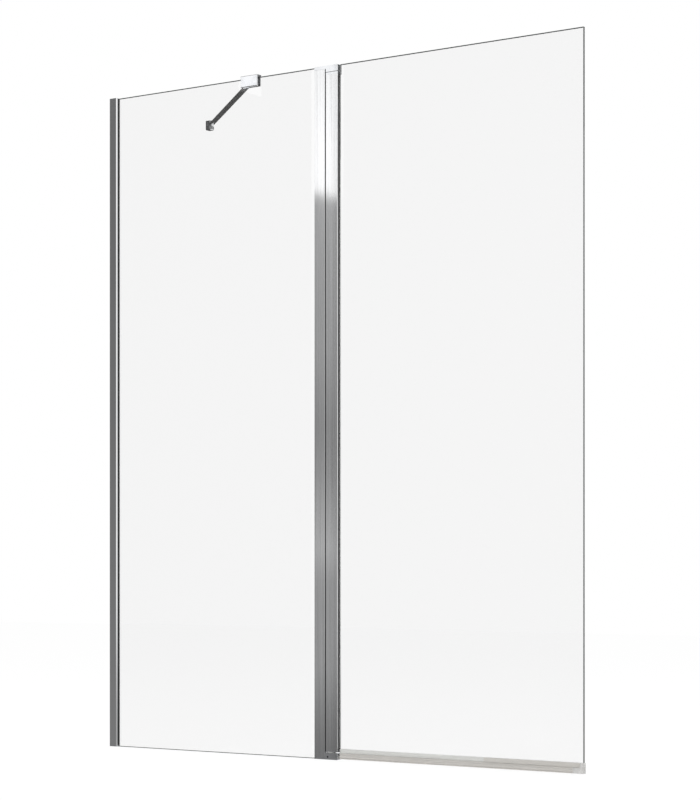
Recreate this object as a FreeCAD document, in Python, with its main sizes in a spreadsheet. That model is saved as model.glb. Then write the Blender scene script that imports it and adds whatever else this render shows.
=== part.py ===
import FreeCAD, Part
import os
import types
import Sketcher

# Bath screen: a fixed glass panel on a wall profile, a glass door on a profile hinge
# and a stabiliser arm from the top of the fixed glass back to the wall.
# Millimetres. X runs along the screen away from the wall, Y from the room into the bath,
# Z up. The origin lies on the wall, in the middle plane of the glass, at the bottom edge.

DRIVING_SIZES = {
    # the whole screen
    "panel_height": 1500,
    "total_width": 1250,
    "hinge_gap_centre": 617.2,
    "hinge_gap": 2.6,
    "glass_thick": 6,
    "glass_chamfer": 0.5,
    "seat_clearance": 0.1,
    # wall profile and the glass profile that slides in it
    "wall_profile_width": 18.8,
    "wall_profile_depth": 16.4,
    "wall_base": 2,
    "extrusion_wall": 1.4,
    "slide_clearance": 0.2,
    "wall_adjustment": 2,
    "screw_room": 5.6,
    "nose_length": 2.6,
    "nose_bevel": 2.5,
    "wall_gasket_lip": 3.2,
    "gasket_setback": 0.5,
    "wall_top_cap_thick": 1.5,
    "wall_top_rise": 1.3,
    "wall_bottom_cap_thick": 3,
    "cap_slot_room": 0.3,
    "cap_spigot_length": 8,
    "wall_hole_radius": 2.75,
    "wall_hole_margin": 120,
    "wall_hole_count": 4,
    "adjusting_screw_radius": 1.75,
    "adjusting_screw_length": 9.5,
    "adjusting_head_radius": 3.4,
    "adjusting_head_height": 2,
    "adjusting_screw_margin": 150,
    "adjusting_screw_count": 3,
    "cover_wall": 1,
    "cover_room": 0.4,
    "packer_width": 5,
    "packer_length": 40,
    "packer_bottom_margin": 200,
    "packer_top_margin": 300,
    "packer_count": 3,
    # profiles on both sides of the hinge
    "hinge_depth": 19,
    "fixed_hinge_width": 27.8,
    "door_hinge_width": 31,
    "glass_pocket": 13,
    "back_setback": 2.2,
    "glass_end_gap": 1,
    "hinge_gasket_thick": 4.6,
    "hinge_gasket_lip": 0.7,
    "gasket_end_gap": 1.5,
    "door_gasket_rise": 5,
    "screw_rib": 6,
    "outer_bevel": 1,
    "edge_break": 0.4,
    "end_cap_width": 14.5,
    "hinge_seal_groove": 2.5,
    "hinge_seal_root": 3,
    "hinge_seal_width": 5,
    "hinge_seal_bulge": 2,
    "hinge_seal_end_gap": 1,
    # pivots at the top and the bottom of the door
    "top_plate_thick": 7,
    "top_block_height": 14,
    "top_gap": 1.2,
    "foot_plate_thick": 4,
    "bottom_block_height": 15,
    "bottom_block_gap": 0.2,
    "washer_thick": 1.9,
    "washer_radius": 8,
    "pin_radius": 4,
    "pin_fit": 0.05,
    "pin_end_bevel": 0.5,
    "pin_seat_floor": 3,
    "pin_top_setback": 1,
    "bush_wall": 2,
    "bush_length": 24,
    "bush_end_room": 2,
    "door_bore_wall": 2.5,
    "door_top_cap_thick": 5,
    "door_bottom_cap_thick": 2,
    "cap_pin_room": 0.6,
    "cap_ring_height": 3,
    "retaining_screw_radius": 2,
    "retaining_screw_height": 6,
    "retaining_screw_offset": 4.6,
    "retaining_screw_reach": 3,
    "neck_room": 0.2,
    "block_screw_radius": 1.7,
    "block_screw_hole_radius": 2.2,
    "block_screw_head_radius": 4.2,
    "block_screw_length": 16,
    "block_screw_port_depth": 22,
    # door glass and the seal under it
    "door_glass_drop": 0.1,
    "door_glass_bottom": 9,
    "notch_clearance": 2.6,
    "seal_low": 2.2,
    "seal_height": 24,
    "seal_body_height": 14,
    "seal_leg": 1.6,
    "seal_shoulder": 1,
    "seal_bridge_height": 5,
    "wiper_thick": 1,
    "wiper_setback": 1.2,
    "end_piece_length": 23,
    "end_piece_upper_length": 7,
    "end_piece_cover": 1,
    "strip_length": 226,
    "strip_thick": 1.6,
    "strip_bottom_gap": 0.2,
    # clamp on the top edge of the fixed glass
    "clamp_centre": 407.9,
    "clamp_width": 47,
    "clamp_rise": 5.2,
    "clamp_drop": 19.9,
    "clamp_front_depth": 9.5,
    "clamp_back_depth": 7.6,
    "clamp_pad_thick": 1.6,
    "clamp_pad_inset": 2,
    "clamp_pad_drop": 14,
    "clamp_bridge_room": 1.2,
    "clamp_bevel": 1.2,
    "clamp_back_round": 2.5,
    "clamp_screw_radius": 2.5,
    "clamp_screw_spacing": 30,
    "clamp_screw_drop": 8,
    "clamp_screw_setback": 0.2,
    "clamp_screw_socket": 1.2,
    "ear_width": 12,
    "ear_length": 11.4,
    "ear_thick": 5,
    "ear_round": 4,
    "arm_pivot_offset": 4.9,
    # stabiliser arm and its bracket on the wall
    "arm_bar": 8,
    "arm_drop": 3,
    "arm_clearance": 0.2,
    "arm_pin_radius": 2.5,
    "arm_pivot_depth": 13,
    "arm_head_radius": 4.5,
    "arm_head_height": 2,
    "bracket_depth": 357,
    "bracket_width": 16,
    "bracket_height": 22.6,
    "bracket_drop": 15.7,
    "bracket_pin_reach": 9,
    "bracket_pin_grip": 2.3,
    "bracket_bevel": 1.5,
    "stud_hole_radius": 2.1,
    "stud_hole_depth": 5.5,
    "stud_hole_height": 4.4,
}

DOC = FreeCAD.newDocument("bath_screen")
SHEET = DOC.addObject("Spreadsheet::Sheet", "Sizes")
NODES = []
CUTS = []


class Size:
    """A length that knows its number and the sheet expression that it comes from."""

    def __init__(self, number, text):
        self.number = number
        self.text = text

    def joined(self, sign, other, number):
        return Size(number, f"({self.text} {sign} {other.text})")

    def __add__(self, other):
        other = as_size(other)
        return self.joined("+", other, self.number + other.number)

    def __sub__(self, other):
        other = as_size(other)
        return self.joined("-", other, self.number - other.number)

    def __mul__(self, other):
        other = as_size(other)
        return self.joined("*", other, self.number * other.number)

    def __truediv__(self, other):
        other = as_size(other)
        return self.joined("/", other, self.number / other.number)

    def __neg__(self):
        return Size(-self.number, f"(-1 * {self.text})")


def as_size(value):
    """Return the value as a Size, so that plain numbers can stand in a formula."""
    return value if isinstance(value, Size) else Size(float(value), str(float(value)))


def fill_sheet():
    """Write each driving size as a plain number under its alias."""
    for row, (alias, number) in enumerate(DRIVING_SIZES.items(), start=1):
        SHEET.set(f"A{row}", alias)
        SHEET.set(f"B{row}", str(number))
        SHEET.setAlias(f"B{row}", alias)
    DOC.recompute()


def sheet_size(alias):
    """Read one size from the sheet."""
    return Size(float(SHEET.get(alias)), f"Sizes.{alias}")


def bind(thing, prop, value):
    """Set a property from the sheet."""
    thing.setExpression(prop, as_size(value).text)


def place(thing, x=0, y=0, z=0):
    """Put an object at a place that follows the sheet."""
    for axis, value in zip("xyz", (x, y, z)):
        bind(thing, f"Placement.Base.{axis}", value)


def turn_to(thing, axis, degrees):
    """Turn an object about an axis through its own origin."""
    thing.Placement = FreeCAD.Placement(
        thing.Placement.Base, FreeCAD.Rotation(FreeCAD.Vector(*axis), degrees)
    )


def keep(thing, label):
    """Name a finished sub-part and list it for export."""
    thing.Label = label
    NODES.append(thing)
    return thing


# ---------------------------------------------------------------- sketches and features


def new_body(label):
    """Start a sub-part as a body."""
    return keep(DOC.addObject("PartDesign::Body", f"{label}_body"), label)


def origin_feature(body, role):
    """Return a plane or an axis of the body's own origin."""
    return next(item for item in body.Origin.OriginFeatures if item.Role == role)


def new_sketch(body, role, offset=0):
    """Attach an empty sketch to one of the body's origin planes, moved along its normal."""
    sketch = body.newObject("Sketcher::SketchObject", f"{body.Name}_sketch")
    sketch.AttachmentSupport = [(origin_feature(body, role), "")]
    sketch.MapMode = "FlatFace"
    bind(sketch, "AttachmentOffset.Base.z", offset)
    return sketch


def hold_point(sketch, geometry, position, across, up):
    """Tie one point of a sketch to the sheet."""
    for kind, value in (("DistanceX", across), ("DistanceY", up)):
        rule = Sketcher.Constraint(kind, -1, 1, geometry, position, value.number)
        index = sketch.addConstraint(rule)
        sketch.setExpression(f"Constraints[{index}]", value.text)


def draw_outline(sketch, corners):
    """Draw a closed outline of straight edges through corners given as (across, up)."""
    corners = [(as_size(across), as_size(up)) for across, up in corners]
    first = sketch.GeometryCount
    spots = [FreeCAD.Vector(across.number, up.number, 0) for across, up in corners]
    count = len(corners)
    for index in range(count):
        edge = Part.LineSegment(spots[index], spots[(index + 1) % count])
        sketch.addGeometry(edge, False)
    for index in range(count):
        following = first + (index + 1) % count
        sketch.addConstraint(Sketcher.Constraint("Coincident", first + index, 2, following, 1))
    for index, (across, up) in enumerate(corners):
        hold_point(sketch, first + index, 1, across, up)
    return sketch


def draw_circle(sketch, across, up, radius):
    """Draw a circle whose centre and radius follow the sheet."""
    across, up, radius = as_size(across), as_size(up), as_size(radius)
    centre = FreeCAD.Vector(across.number, up.number, 0)
    circle = Part.Circle(centre, FreeCAD.Vector(0, 0, 1), radius.number)
    geometry = sketch.addGeometry(circle, False)
    index = sketch.addConstraint(Sketcher.Constraint("Radius", geometry, radius.number))
    sketch.setExpression(f"Constraints[{index}]", radius.text)
    hold_point(sketch, geometry, 3, across, up)
    return sketch


def box_corners(left, right, low, high):
    """Return the corners of a rectangle."""
    return [(left, low), (right, low), (right, high), (left, high)]


def both_sides(half):
    """Complete an outline given for positive second coordinates by its mirror image."""
    mirrored = [(across, -as_size(up)) for across, up in reversed(half)]
    return [(across, as_size(up)) for across, up in half] + mirrored


def pad(body, sketch, length, symmetric=False):
    """Raise a sketch along its normal, or equally to both sides."""
    feature = body.newObject("PartDesign::Pad", f"{body.Name}_pad")
    feature.Profile = sketch
    bind(feature, "Length", length)
    if symmetric:
        feature.SideType = "Symmetric"
    DOC.recompute()
    return feature


def cut(body, sketch, length=None, symmetric=False, reverse=False):
    """Pocket a sketch against its normal, by a length or through everything."""
    base = body.Tip
    feature = body.newObject("PartDesign::Pocket", f"{body.Name}_cut")
    feature.Profile = sketch
    if length is None:
        feature.Type = "ThroughAll"
    else:
        bind(feature, "Length", length)
    if symmetric:
        feature.SideType = "Symmetric"
    feature.Reversed = reverse
    DOC.recompute()
    CUTS.append((base, feature))
    return feature


def countersunk_hole(body, sketch, from_below=False):
    """Drill the block screw's hole and its countersink at the sketch's circle."""
    base = body.Tip
    feature = body.newObject("PartDesign::Hole", f"{body.Name}_hole")
    feature.Profile = sketch
    DOC.recompute()
    feature.ThreadType = "None"
    feature.DepthType = "ThroughAll"
    feature.HoleCutType = "Countersink"
    feature.HoleCutCustomValues = True
    bind(feature, "Diameter", size.block_screw_hole_radius * 2)
    bind(feature, "HoleCutDiameter", size.block_screw_head_radius * 2)
    feature.HoleCutCountersinkAngle = 90
    feature.Reversed = from_below
    DOC.recompute()
    CUTS.append((base, feature))
    return feature


def revolve(body, corners):
    """Turn an outline of (radius, height) corners about the body's Z axis."""
    sketch = draw_outline(new_sketch(body, "XZ_Plane"), corners)
    feature = body.newObject("PartDesign::Revolution", f"{body.Name}_turned")
    feature.Profile = sketch
    feature.ReferenceAxis = (sketch, ["V_Axis"])
    feature.Angle = 360
    DOC.recompute()
    return feature


def repeat(body, feature, role, pitch, count, reverse=False):
    """Repeat a feature along one of the body's axes."""
    pattern = body.newObject("PartDesign::LinearPattern", f"{body.Name}_row")
    pattern.Originals = [feature]
    pattern.Direction = (origin_feature(body, role), [""])
    pattern.Mode = "Spacing"
    bind(pattern, "Offset", pitch)
    bind(pattern, "Occurrences", count)
    pattern.Reversed = reverse
    body.Tip = pattern
    DOC.recompute()
    return pattern


def edges_where(feature, test):
    """Name the straight edges of a feature whose two ends pass a test."""
    names = []
    for index, edge in enumerate(feature.Shape.Edges, start=1):
        ends = [vertex.Point for vertex in edge.Vertexes]
        if len(ends) == 2 and all(test(end) for end in ends):
            names.append(f"Edge{index}")
    return names


def upright_at(*spots):
    """Return a test for points that lie above or below one of the (x, y) spots."""
    places = [(as_size(x).number, as_size(y).number) for x, y in spots]

    def test(point):
        return any(abs(point.x - x) < 1e-4 and abs(point.y - y) < 1e-4 for x, y in places)

    return test


def dress(body, kind, names, prop, value):
    """Add a chamfer or a fillet on the named edges of the body's last feature."""
    base = body.Tip
    feature = body.newObject(f"PartDesign::{kind}", f"{body.Name}_{kind.lower()}")
    feature.Base = (base, names)
    bind(feature, prop, value)
    DOC.recompute()
    return feature


def extrude_up(label, outlines, low, high, x=0):
    """Make an upright extrusion from outlines in plan, between two heights."""
    body = new_body(label)
    place(body, x, 0, low)
    sketch = new_sketch(body, "XY_Plane")
    for corners in outlines:
        draw_outline(sketch, corners)
    pad(body, sketch, as_size(high) - low)
    return body


def plate_across(label, corners, depth, x=0):
    """Make a plate from its outline seen from the room, centred on the glass plane."""
    body = new_body(label)
    place(body, x)
    sketch = draw_outline(new_sketch(body, "XZ_Plane"), corners)
    pad(body, sketch, depth, symmetric=True)
    return body


def box_part(name, length, width, height):
    """Make a plain box primitive from the sheet."""
    box = DOC.addObject("Part::Box", name)
    for prop, value in (("Length", length), ("Width", width), ("Height", height)):
        bind(box, prop, value)
    return box


def cylinder_part(name, radius, height):
    """Make a plain upright cylinder primitive from the sheet."""
    cylinder = DOC.addObject("Part::Cylinder", name)
    bind(cylinder, "Radius", radius)
    bind(cylinder, "Height", height)
    return cylinder


fill_sheet()
size = types.SimpleNamespace(**{alias: sheet_size(alias) for alias in DRIVING_SIZES})

# ------------------------------------------------------------- places that pieces share

# across the screen, measured in Y from the middle plane of the glass
glass_half = size.glass_thick / 2
wall_half = size.wall_profile_depth / 2
channel_half = wall_half - size.extrusion_wall
slider_half = channel_half - size.slide_clearance
slider_leg = slider_half - size.extrusion_wall
hinge_half = size.hinge_depth / 2
pocket_half = glass_half + size.hinge_gasket_thick
slot_half = glass_half + size.seat_clearance

# along the screen, measured in X from the wall
web_start = size.wall_base + size.wall_adjustment
web_end = web_start + size.extrusion_wall
fixed_glass_start = web_end + size.screw_room
nose_start = size.wall_profile_width + size.slide_clearance
nose_end = nose_start + size.nose_length
back_leg_end = nose_end - size.back_setback
gap_start = size.hinge_gap_centre - size.hinge_gap / 2
gap_end = size.hinge_gap_centre + size.hinge_gap / 2
fixed_hinge_start = gap_start - size.fixed_hinge_width
fixed_pocket_end = fixed_hinge_start + size.glass_pocket
fixed_glass_end = fixed_pocket_end - size.glass_end_gap
plate_start = fixed_hinge_start + size.end_cap_width
hinge_x = gap_end + hinge_half
block_end = gap_end + size.door_hinge_width

# along the door, measured in X from the hinge axis
door_edge = size.door_hinge_width - hinge_half
door_back_edge = door_edge - size.back_setback
bush_radius = size.pin_radius + size.pin_fit + size.bush_wall
door_pocket = bush_radius + size.door_bore_wall
notch = door_edge + size.notch_clearance
door_free_edge = size.total_width - hinge_x

# heights
wall_profile_top = size.panel_height + size.wall_top_rise - size.wall_top_cap_thick
top_plate_low = size.panel_height - size.top_plate_thick
top_block_low = size.panel_height - size.top_block_height
door_cap_top = top_block_low - size.top_gap
door_profile_top = door_cap_top - size.door_top_cap_thick
door_low = size.bottom_block_height + size.washer_thick + size.seat_clearance
door_profile_low = door_low + size.door_bottom_cap_thick
top_bush_high = door_profile_top - size.cap_ring_height
bottom_bush_low = door_profile_low + size.cap_ring_height
arm_middle = size.panel_height - size.arm_drop
arm_low = arm_middle - size.arm_bar / 2
clamp_top = size.panel_height + size.clamp_rise
clamp_low = size.panel_height - size.clamp_drop
bracket_low = size.panel_height - size.bracket_drop

# spacing of what repeats up the wall profile
wall_hole_run = size.panel_height - size.wall_hole_margin * 2
wall_hole_pitch = wall_hole_run / (size.wall_hole_count - 1)
screw_run = size.panel_height - size.adjusting_screw_margin * 2
screw_pitch = screw_run / (size.adjusting_screw_count - 1)
screw_top = size.panel_height - size.adjusting_screw_margin
packer_top = size.panel_height - size.packer_top_margin - size.packer_length
packer_pitch = (packer_top - size.packer_bottom_margin) / (size.packer_count - 1)

# ------------------------------------------------------------- wall side of fixed panel


def wall_profile():
    """U channel that is screwed to the wall, open towards the glass."""
    corners = both_sides(
        [
            (0, wall_half),
            (size.wall_profile_width, wall_half),
            (size.wall_profile_width, channel_half),
            (size.wall_base, channel_half),
        ]
    )
    low, high = size.wall_bottom_cap_thick, wall_profile_top
    body = extrude_up("wall_profile", [corners], low, high)
    holes = new_sketch(body, "YZ_Plane")
    draw_circle(holes, 0, size.wall_hole_margin - low, size.wall_hole_radius)
    hole = cut(body, holes, size.wall_base * 3, symmetric=True)
    repeat(body, hole, "Z_Axis", wall_hole_pitch, size.wall_hole_count)
    adjusting_holes(body, low)


def adjusting_holes(body, low):
    """Cut the row of holes for the adjusting screws through the bath side of a profile."""
    sketch = new_sketch(body, "XZ_Plane")
    across = web_end + size.screw_room / 2
    height = size.adjusting_screw_margin - low
    draw_circle(sketch, across, height, size.adjusting_screw_radius)
    hole = cut(body, sketch)
    repeat(body, hole, "Z_Axis", screw_pitch, size.adjusting_screw_count)


def glass_profile():
    """Inner profile that holds the fixed glass and slides in the wall channel."""
    corners = [
        (web_start, slider_half),
        (back_leg_end, slider_half),
        (back_leg_end, slider_leg),
        (web_end, slider_leg),
        (web_end, -slider_leg),
        (nose_end, -slider_leg),
        (nose_end, size.nose_bevel - wall_half),
        (nose_end - size.nose_bevel, -wall_half),
        (nose_start, -wall_half),
        (nose_start, -slider_half),
        (web_start, -slider_half),
    ]
    low = size.wall_bottom_cap_thick
    body = extrude_up("glass_profile", [corners], low, wall_profile_top)
    adjusting_holes(body, low)


def wall_gasket(side, sign):
    """Wedge gasket between the glass profile and one face of the fixed glass."""
    start = fixed_glass_start + size.gasket_setback
    end = nose_end if sign < 0 else back_leg_end
    corners = [
        (start, glass_half * sign),
        (start, slider_leg * sign),
        (end, slider_leg * sign),
        (end + size.wall_gasket_lip, glass_half * sign),
    ]
    low, high = size.wall_bottom_cap_thick, wall_profile_top
    extrude_up(f"wall_gasket_{side}", [corners], low, high)


def wall_end_cap(label, low, thick, spigot_low):
    """Plate over one end of the wall profile, slotted for the glass, with a spigot."""
    body = new_body(label)
    place(body, 0, 0, low)
    slot_start = fixed_glass_start - size.cap_slot_room
    corners = both_sides(
        [
            (0, wall_half),
            (nose_end - size.nose_bevel, wall_half),
            (nose_end, wall_half - size.nose_bevel),
            (nose_end, slot_half),
            (slot_start, slot_half),
        ]
    )
    pad(body, draw_outline(new_sketch(body, "XY_Plane"), corners), thick)
    spigot = new_sketch(body, "XY_Plane", spigot_low)
    left = size.wall_base + size.seat_clearance
    right = web_start - size.seat_clearance
    reach = channel_half - size.slide_clearance
    draw_outline(spigot, box_corners(left, right, -reach, reach))
    pad(body, spigot, size.cap_spigot_length)


def adjusting_screws():
    """Self-tapping screws that lock the glass profile in the wall profile."""
    body = new_body("adjusting_screws")
    turn_to(body, (1, 0, 0), -90)
    across = web_end + size.screw_room / 2
    place(body, across, wall_half, screw_top)
    corners = [
        (0, -size.adjusting_screw_length),
        (size.adjusting_screw_radius, size.adjusting_screw_radius - size.adjusting_screw_length),
        (size.adjusting_screw_radius, 0),
        (size.adjusting_head_radius, 0),
        (size.adjusting_head_radius, size.adjusting_head_height / 2),
        (size.adjusting_head_radius / 2, size.adjusting_head_height),
        (0, size.adjusting_head_height),
    ]
    screw = revolve(body, corners)
    repeat(body, screw, "Y_Axis", screw_pitch, size.adjusting_screw_count)


def screw_covers():
    """Snap-on covers over the heads of the adjusting screws."""
    body = new_body("screw_covers")
    turn_to(body, (1, 0, 0), -90)
    across = web_end + size.screw_room / 2
    place(body, across, wall_half, screw_top)
    inner = size.adjusting_head_radius + size.cover_room
    inner_top = size.adjusting_head_height + size.cover_room
    outer = inner + size.cover_wall
    outer_top = inner_top + size.cover_wall
    corners = [
        (inner, 0),
        (outer, 0),
        (outer, outer_top - size.cover_wall),
        (outer - size.cover_wall, outer_top),
        (0, outer_top),
        (0, inner_top),
        (inner, inner_top),
    ]
    cover = revolve(body, corners)
    repeat(body, cover, "Y_Axis", screw_pitch, size.adjusting_screw_count)


def glass_packers():
    """Plastic packers between the edge of the fixed glass and the web of its profile."""
    body = new_body("glass_packers")
    place(body, 0, 0, size.packer_bottom_margin)
    sketch = new_sketch(body, "XY_Plane")
    half = size.packer_width / 2
    draw_outline(sketch, box_corners(web_end, fixed_glass_start, -half, half))
    packer = pad(body, sketch, size.packer_length)
    repeat(body, packer, "Z_Axis", packer_pitch, size.packer_count)


def polish_edges(body):
    """Bevel the long edges all round both faces of a pane of glass."""

    def on_a_face(point):
        return abs(abs(point.y) - glass_half.number) < 1e-4

    names = edges_where(body.Tip, on_a_face)
    across = [name for name in names if abs(edge_run(body.Tip, name).y) < 1e-4]
    dress(body, "Chamfer", across, "Size", size.glass_chamfer)


def edge_run(feature, name):
    """Return the vector along a straight edge."""
    first, last = feature.Shape.getElement(name).Vertexes
    return last.Point - first.Point


def fixed_glass():
    """Toughened pane between the wall profile and the hinge."""
    corners = box_corners(fixed_glass_start, fixed_glass_end, 0, size.panel_height)
    polish_edges(plate_across("fixed_glass", corners, size.glass_thick))


# ------------------------------------------------------------------ fixed hinge profile


def fixed_hinge_profile():
    """Extrusion on the free edge of the fixed glass: pocket, two chambers, seal groove."""
    groove_half = size.hinge_seal_root / 2
    groove_bottom = gap_start - size.hinge_seal_groove
    outside = both_sides(
        [
            (fixed_pocket_end, pocket_half),
            (fixed_hinge_start, pocket_half),
            (fixed_hinge_start, hinge_half),
            (gap_start, hinge_half),
            (gap_start, groove_half),
            (groove_bottom, groove_half),
        ]
    )
    left = fixed_pocket_end + size.extrusion_wall
    right = groove_bottom - size.extrusion_wall
    low, high = size.screw_rib / 2, hinge_half - size.extrusion_wall
    chambers = [box_corners(left, right, low, high), box_corners(left, right, -high, -low)]
    outlines = [outside] + chambers
    body = extrude_up(
        "fixed_hinge_profile", outlines, size.foot_plate_thick, top_plate_low
    )
    height = top_plate_low - size.foot_plate_thick
    for offset, reverse in ((0, True), (height, False)):
        port = new_sketch(body, "XY_Plane", offset)
        draw_circle(port, (left + right) / 2, 0, size.block_screw_radius)
        cut(body, port, size.block_screw_port_depth, reverse=reverse)
    test = upright_at(
        (fixed_hinge_start, hinge_half),
        (fixed_hinge_start, -hinge_half),
        (gap_start, hinge_half),
        (gap_start, -hinge_half),
    )
    dress(body, "Chamfer", edges_where(body.Tip, test), "Size", size.edge_break)
    return (left + right) / 2


def fixed_hinge_gasket(side, sign):
    """Gasket between the fixed hinge profile and one face of the fixed glass."""
    end = fixed_pocket_end - size.gasket_end_gap
    corners = [
        (fixed_hinge_start - size.hinge_gasket_lip, glass_half * sign),
        (fixed_hinge_start, pocket_half * sign),
        (end, pocket_half * sign),
        (end, glass_half * sign),
    ]
    low, high = size.foot_plate_thick, top_plate_low
    extrude_up(f"fixed_hinge_gasket_{side}", [corners], low, high)


def fixed_hinge_cap(label, low, high):
    """Cap beside a pivot block on one end of the fixed hinge profile."""
    slot_end = fixed_glass_end + size.cap_slot_room
    corners = both_sides(
        [
            (slot_end, slot_half),
            (fixed_hinge_start, slot_half),
            (fixed_hinge_start, hinge_half),
            (plate_start, hinge_half),
        ]
    )
    extrude_up(label, [corners], low, high)


def hinge_seal():
    """Soft strip in the groove of the fixed profile that closes the hinge gap."""
    root_half = size.hinge_seal_root / 2
    bulb_half = size.hinge_seal_width / 2
    corners = both_sides(
        [
            (gap_start - size.hinge_seal_groove, root_half),
            (gap_start, root_half),
            (gap_start, bulb_half),
            (gap_start + size.hinge_seal_bulge, bulb_half),
        ]
    )
    low = size.bottom_block_height + size.hinge_seal_end_gap
    extrude_up("hinge_seal", [corners], low, top_plate_low - size.hinge_seal_end_gap)


def bevel_block(body):
    """Bevel the upright edges on the door side of a pivot block."""
    test = upright_at((block_end, hinge_half), (block_end, -hinge_half))
    dress(body, "Chamfer", edges_where(body.Tip, test), "Size", size.outer_bevel)


def top_pivot_block(screw_x):
    """Block over the top of the door, with a plate on the fixed hinge profile."""
    corners = [
        (plate_start, top_plate_low),
        (gap_end, top_plate_low),
        (gap_end, top_block_low),
        (block_end, top_block_low),
        (block_end, size.panel_height),
        (plate_start, size.panel_height),
    ]
    body = plate_across("top_pivot_block", corners, size.hinge_depth)
    bevel_block(body)
    bore = draw_circle(new_sketch(body, "XY_Plane"), hinge_x, 0, size.pin_radius)
    cut(body, bore, reverse=True)
    hole = new_sketch(body, "XY_Plane", size.panel_height)
    countersunk_hole(body, draw_circle(hole, screw_x, 0, size.block_screw_hole_radius))


def bottom_pivot_block(screw_x):
    """Block under the bottom of the door, with a foot plate under the fixed profile."""
    left = gap_start + size.bottom_block_gap
    corners = [
        (plate_start, 0),
        (block_end, 0),
        (block_end, size.bottom_block_height),
        (left, size.bottom_block_height),
        (left, size.foot_plate_thick),
        (plate_start, size.foot_plate_thick),
    ]
    body = plate_across("bottom_pivot_block", corners, size.hinge_depth)
    bevel_block(body)
    bore = new_sketch(body, "XY_Plane", size.bottom_block_height)
    draw_circle(bore, hinge_x, 0, size.pin_radius)
    cut(body, bore, size.bottom_block_height - size.pin_seat_floor)
    screw = new_sketch(body, "XZ_Plane", hinge_half)
    across = hinge_x - size.retaining_screw_offset
    draw_circle(screw, across, size.retaining_screw_height, size.retaining_screw_radius)
    cut(body, screw, hinge_half + size.retaining_screw_reach)
    hole = new_sketch(body, "XY_Plane")
    draw_circle(hole, screw_x, 0, size.block_screw_hole_radius)
    countersunk_hole(body, hole, from_below=True)


def block_screw(label, screw_x, height, upside_down):
    """Countersunk screw that holds a pivot block on the end of the fixed profile."""
    body = new_body(label)
    if upside_down:
        turn_to(body, (1, 0, 0), 180)
    place(body, screw_x, 0, height)
    head = size.block_screw_head_radius - size.edge_break
    cone_top = size.edge_break - size.seat_clearance
    shank = size.block_screw_radius
    corners = [
        (0, 0),
        (head, 0),
        (head, -cone_top),
        (shank, shank - head - cone_top),
        (shank, shank - size.block_screw_length),
        (0, -size.block_screw_length),
    ]
    revolve(body, corners)


def pivot_pin(label, low, high, neck_height=None):
    """Turned pin on the hinge axis, with an optional neck for its retaining screw."""
    body = new_body(label)
    place(body, hinge_x)
    radius, bevel = size.pin_radius, size.pin_end_bevel
    corners = [(0, low), (radius - bevel, low), (radius, as_size(low) + bevel)]
    if neck_height is not None:
        neck = size.retaining_screw_offset - size.retaining_screw_radius - size.neck_room
        half = size.retaining_screw_radius + size.neck_room
        corners += [
            (radius, neck_height - half),
            (neck, neck_height - half),
            (neck, neck_height + half),
            (radius, neck_height + half),
        ]
    corners += [(radius, high - bevel), (radius - bevel, high), (0, high)]
    revolve(body, corners)


def thrust_washer():
    """Washer on the bottom block that carries the door."""
    body = new_body("thrust_washer")
    place(body, hinge_x, 0, size.bottom_block_height)
    inner = size.pin_radius + size.seat_clearance
    revolve(body, box_corners(inner, size.washer_radius, 0, size.washer_thick))


def retaining_screw():
    """Grub screw from the room side that holds the bottom pin by its neck."""
    body = new_body("pin_retaining_screw")
    turn_to(body, (1, 0, 0), 90)
    across = hinge_x - size.retaining_screw_offset
    place(body, across, 0, size.retaining_screw_height)
    radius = size.retaining_screw_radius
    corners = [
        (0, -size.retaining_screw_reach),
        (radius, -size.retaining_screw_reach),
        (radius, hinge_half - size.edge_break),
        (radius / 2, hinge_half - size.edge_break),
        (0, hinge_half - size.edge_break - radius),
    ]
    revolve(body, corners)


# ---------------------------------------------------------------------------------- door


def round_back_edge(body):
    """Round the back edge next to the gap about the hinge axis, so that the door swings."""
    names = edges_where(body.Tip, upright_at((-hinge_half, hinge_half)))
    dress(body, "Fillet", names, "Radius", hinge_half)


def door_plan(back_edge):
    """Return the outer plan of the door profile, with bevels on its straight edges."""
    bevel, small = size.outer_bevel, size.edge_break
    return [
        (back_edge, hinge_half - bevel),
        (back_edge - bevel, hinge_half),
        (-hinge_half, hinge_half),
        (-hinge_half, small - hinge_half),
        (small - hinge_half, -hinge_half),
        (door_edge - bevel, -hinge_half),
        (door_edge, bevel - hinge_half),
    ]


def door_hinge_profile():
    """Extrusion on the hinge side of the door glass, bored for the pivot bushes."""
    pocket = [
        (door_edge, -pocket_half),
        (door_pocket, -pocket_half),
        (door_pocket, pocket_half),
        (door_back_edge, pocket_half),
    ]
    corners = door_plan(door_back_edge) + pocket
    body = extrude_up(
        "door_hinge_profile", [corners], door_profile_low, door_profile_top, hinge_x
    )
    round_back_edge(body)
    bore = draw_circle(new_sketch(body, "XY_Plane"), 0, 0, bush_radius)
    cut(body, bore, reverse=True)


def door_gasket(side, sign):
    """Gasket between the door profile and one face of the door glass."""
    start = door_pocket + size.gasket_end_gap
    edge = door_edge if sign < 0 else door_back_edge
    corners = [
        (start, glass_half * sign),
        (start, pocket_half * sign),
        (edge, pocket_half * sign),
        (edge + size.hinge_gasket_lip, glass_half * sign),
    ]
    low = door_profile_low + size.door_gasket_rise
    extrude_up(f"door_gasket_{side}", [corners], low, door_profile_top, hinge_x)


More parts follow.
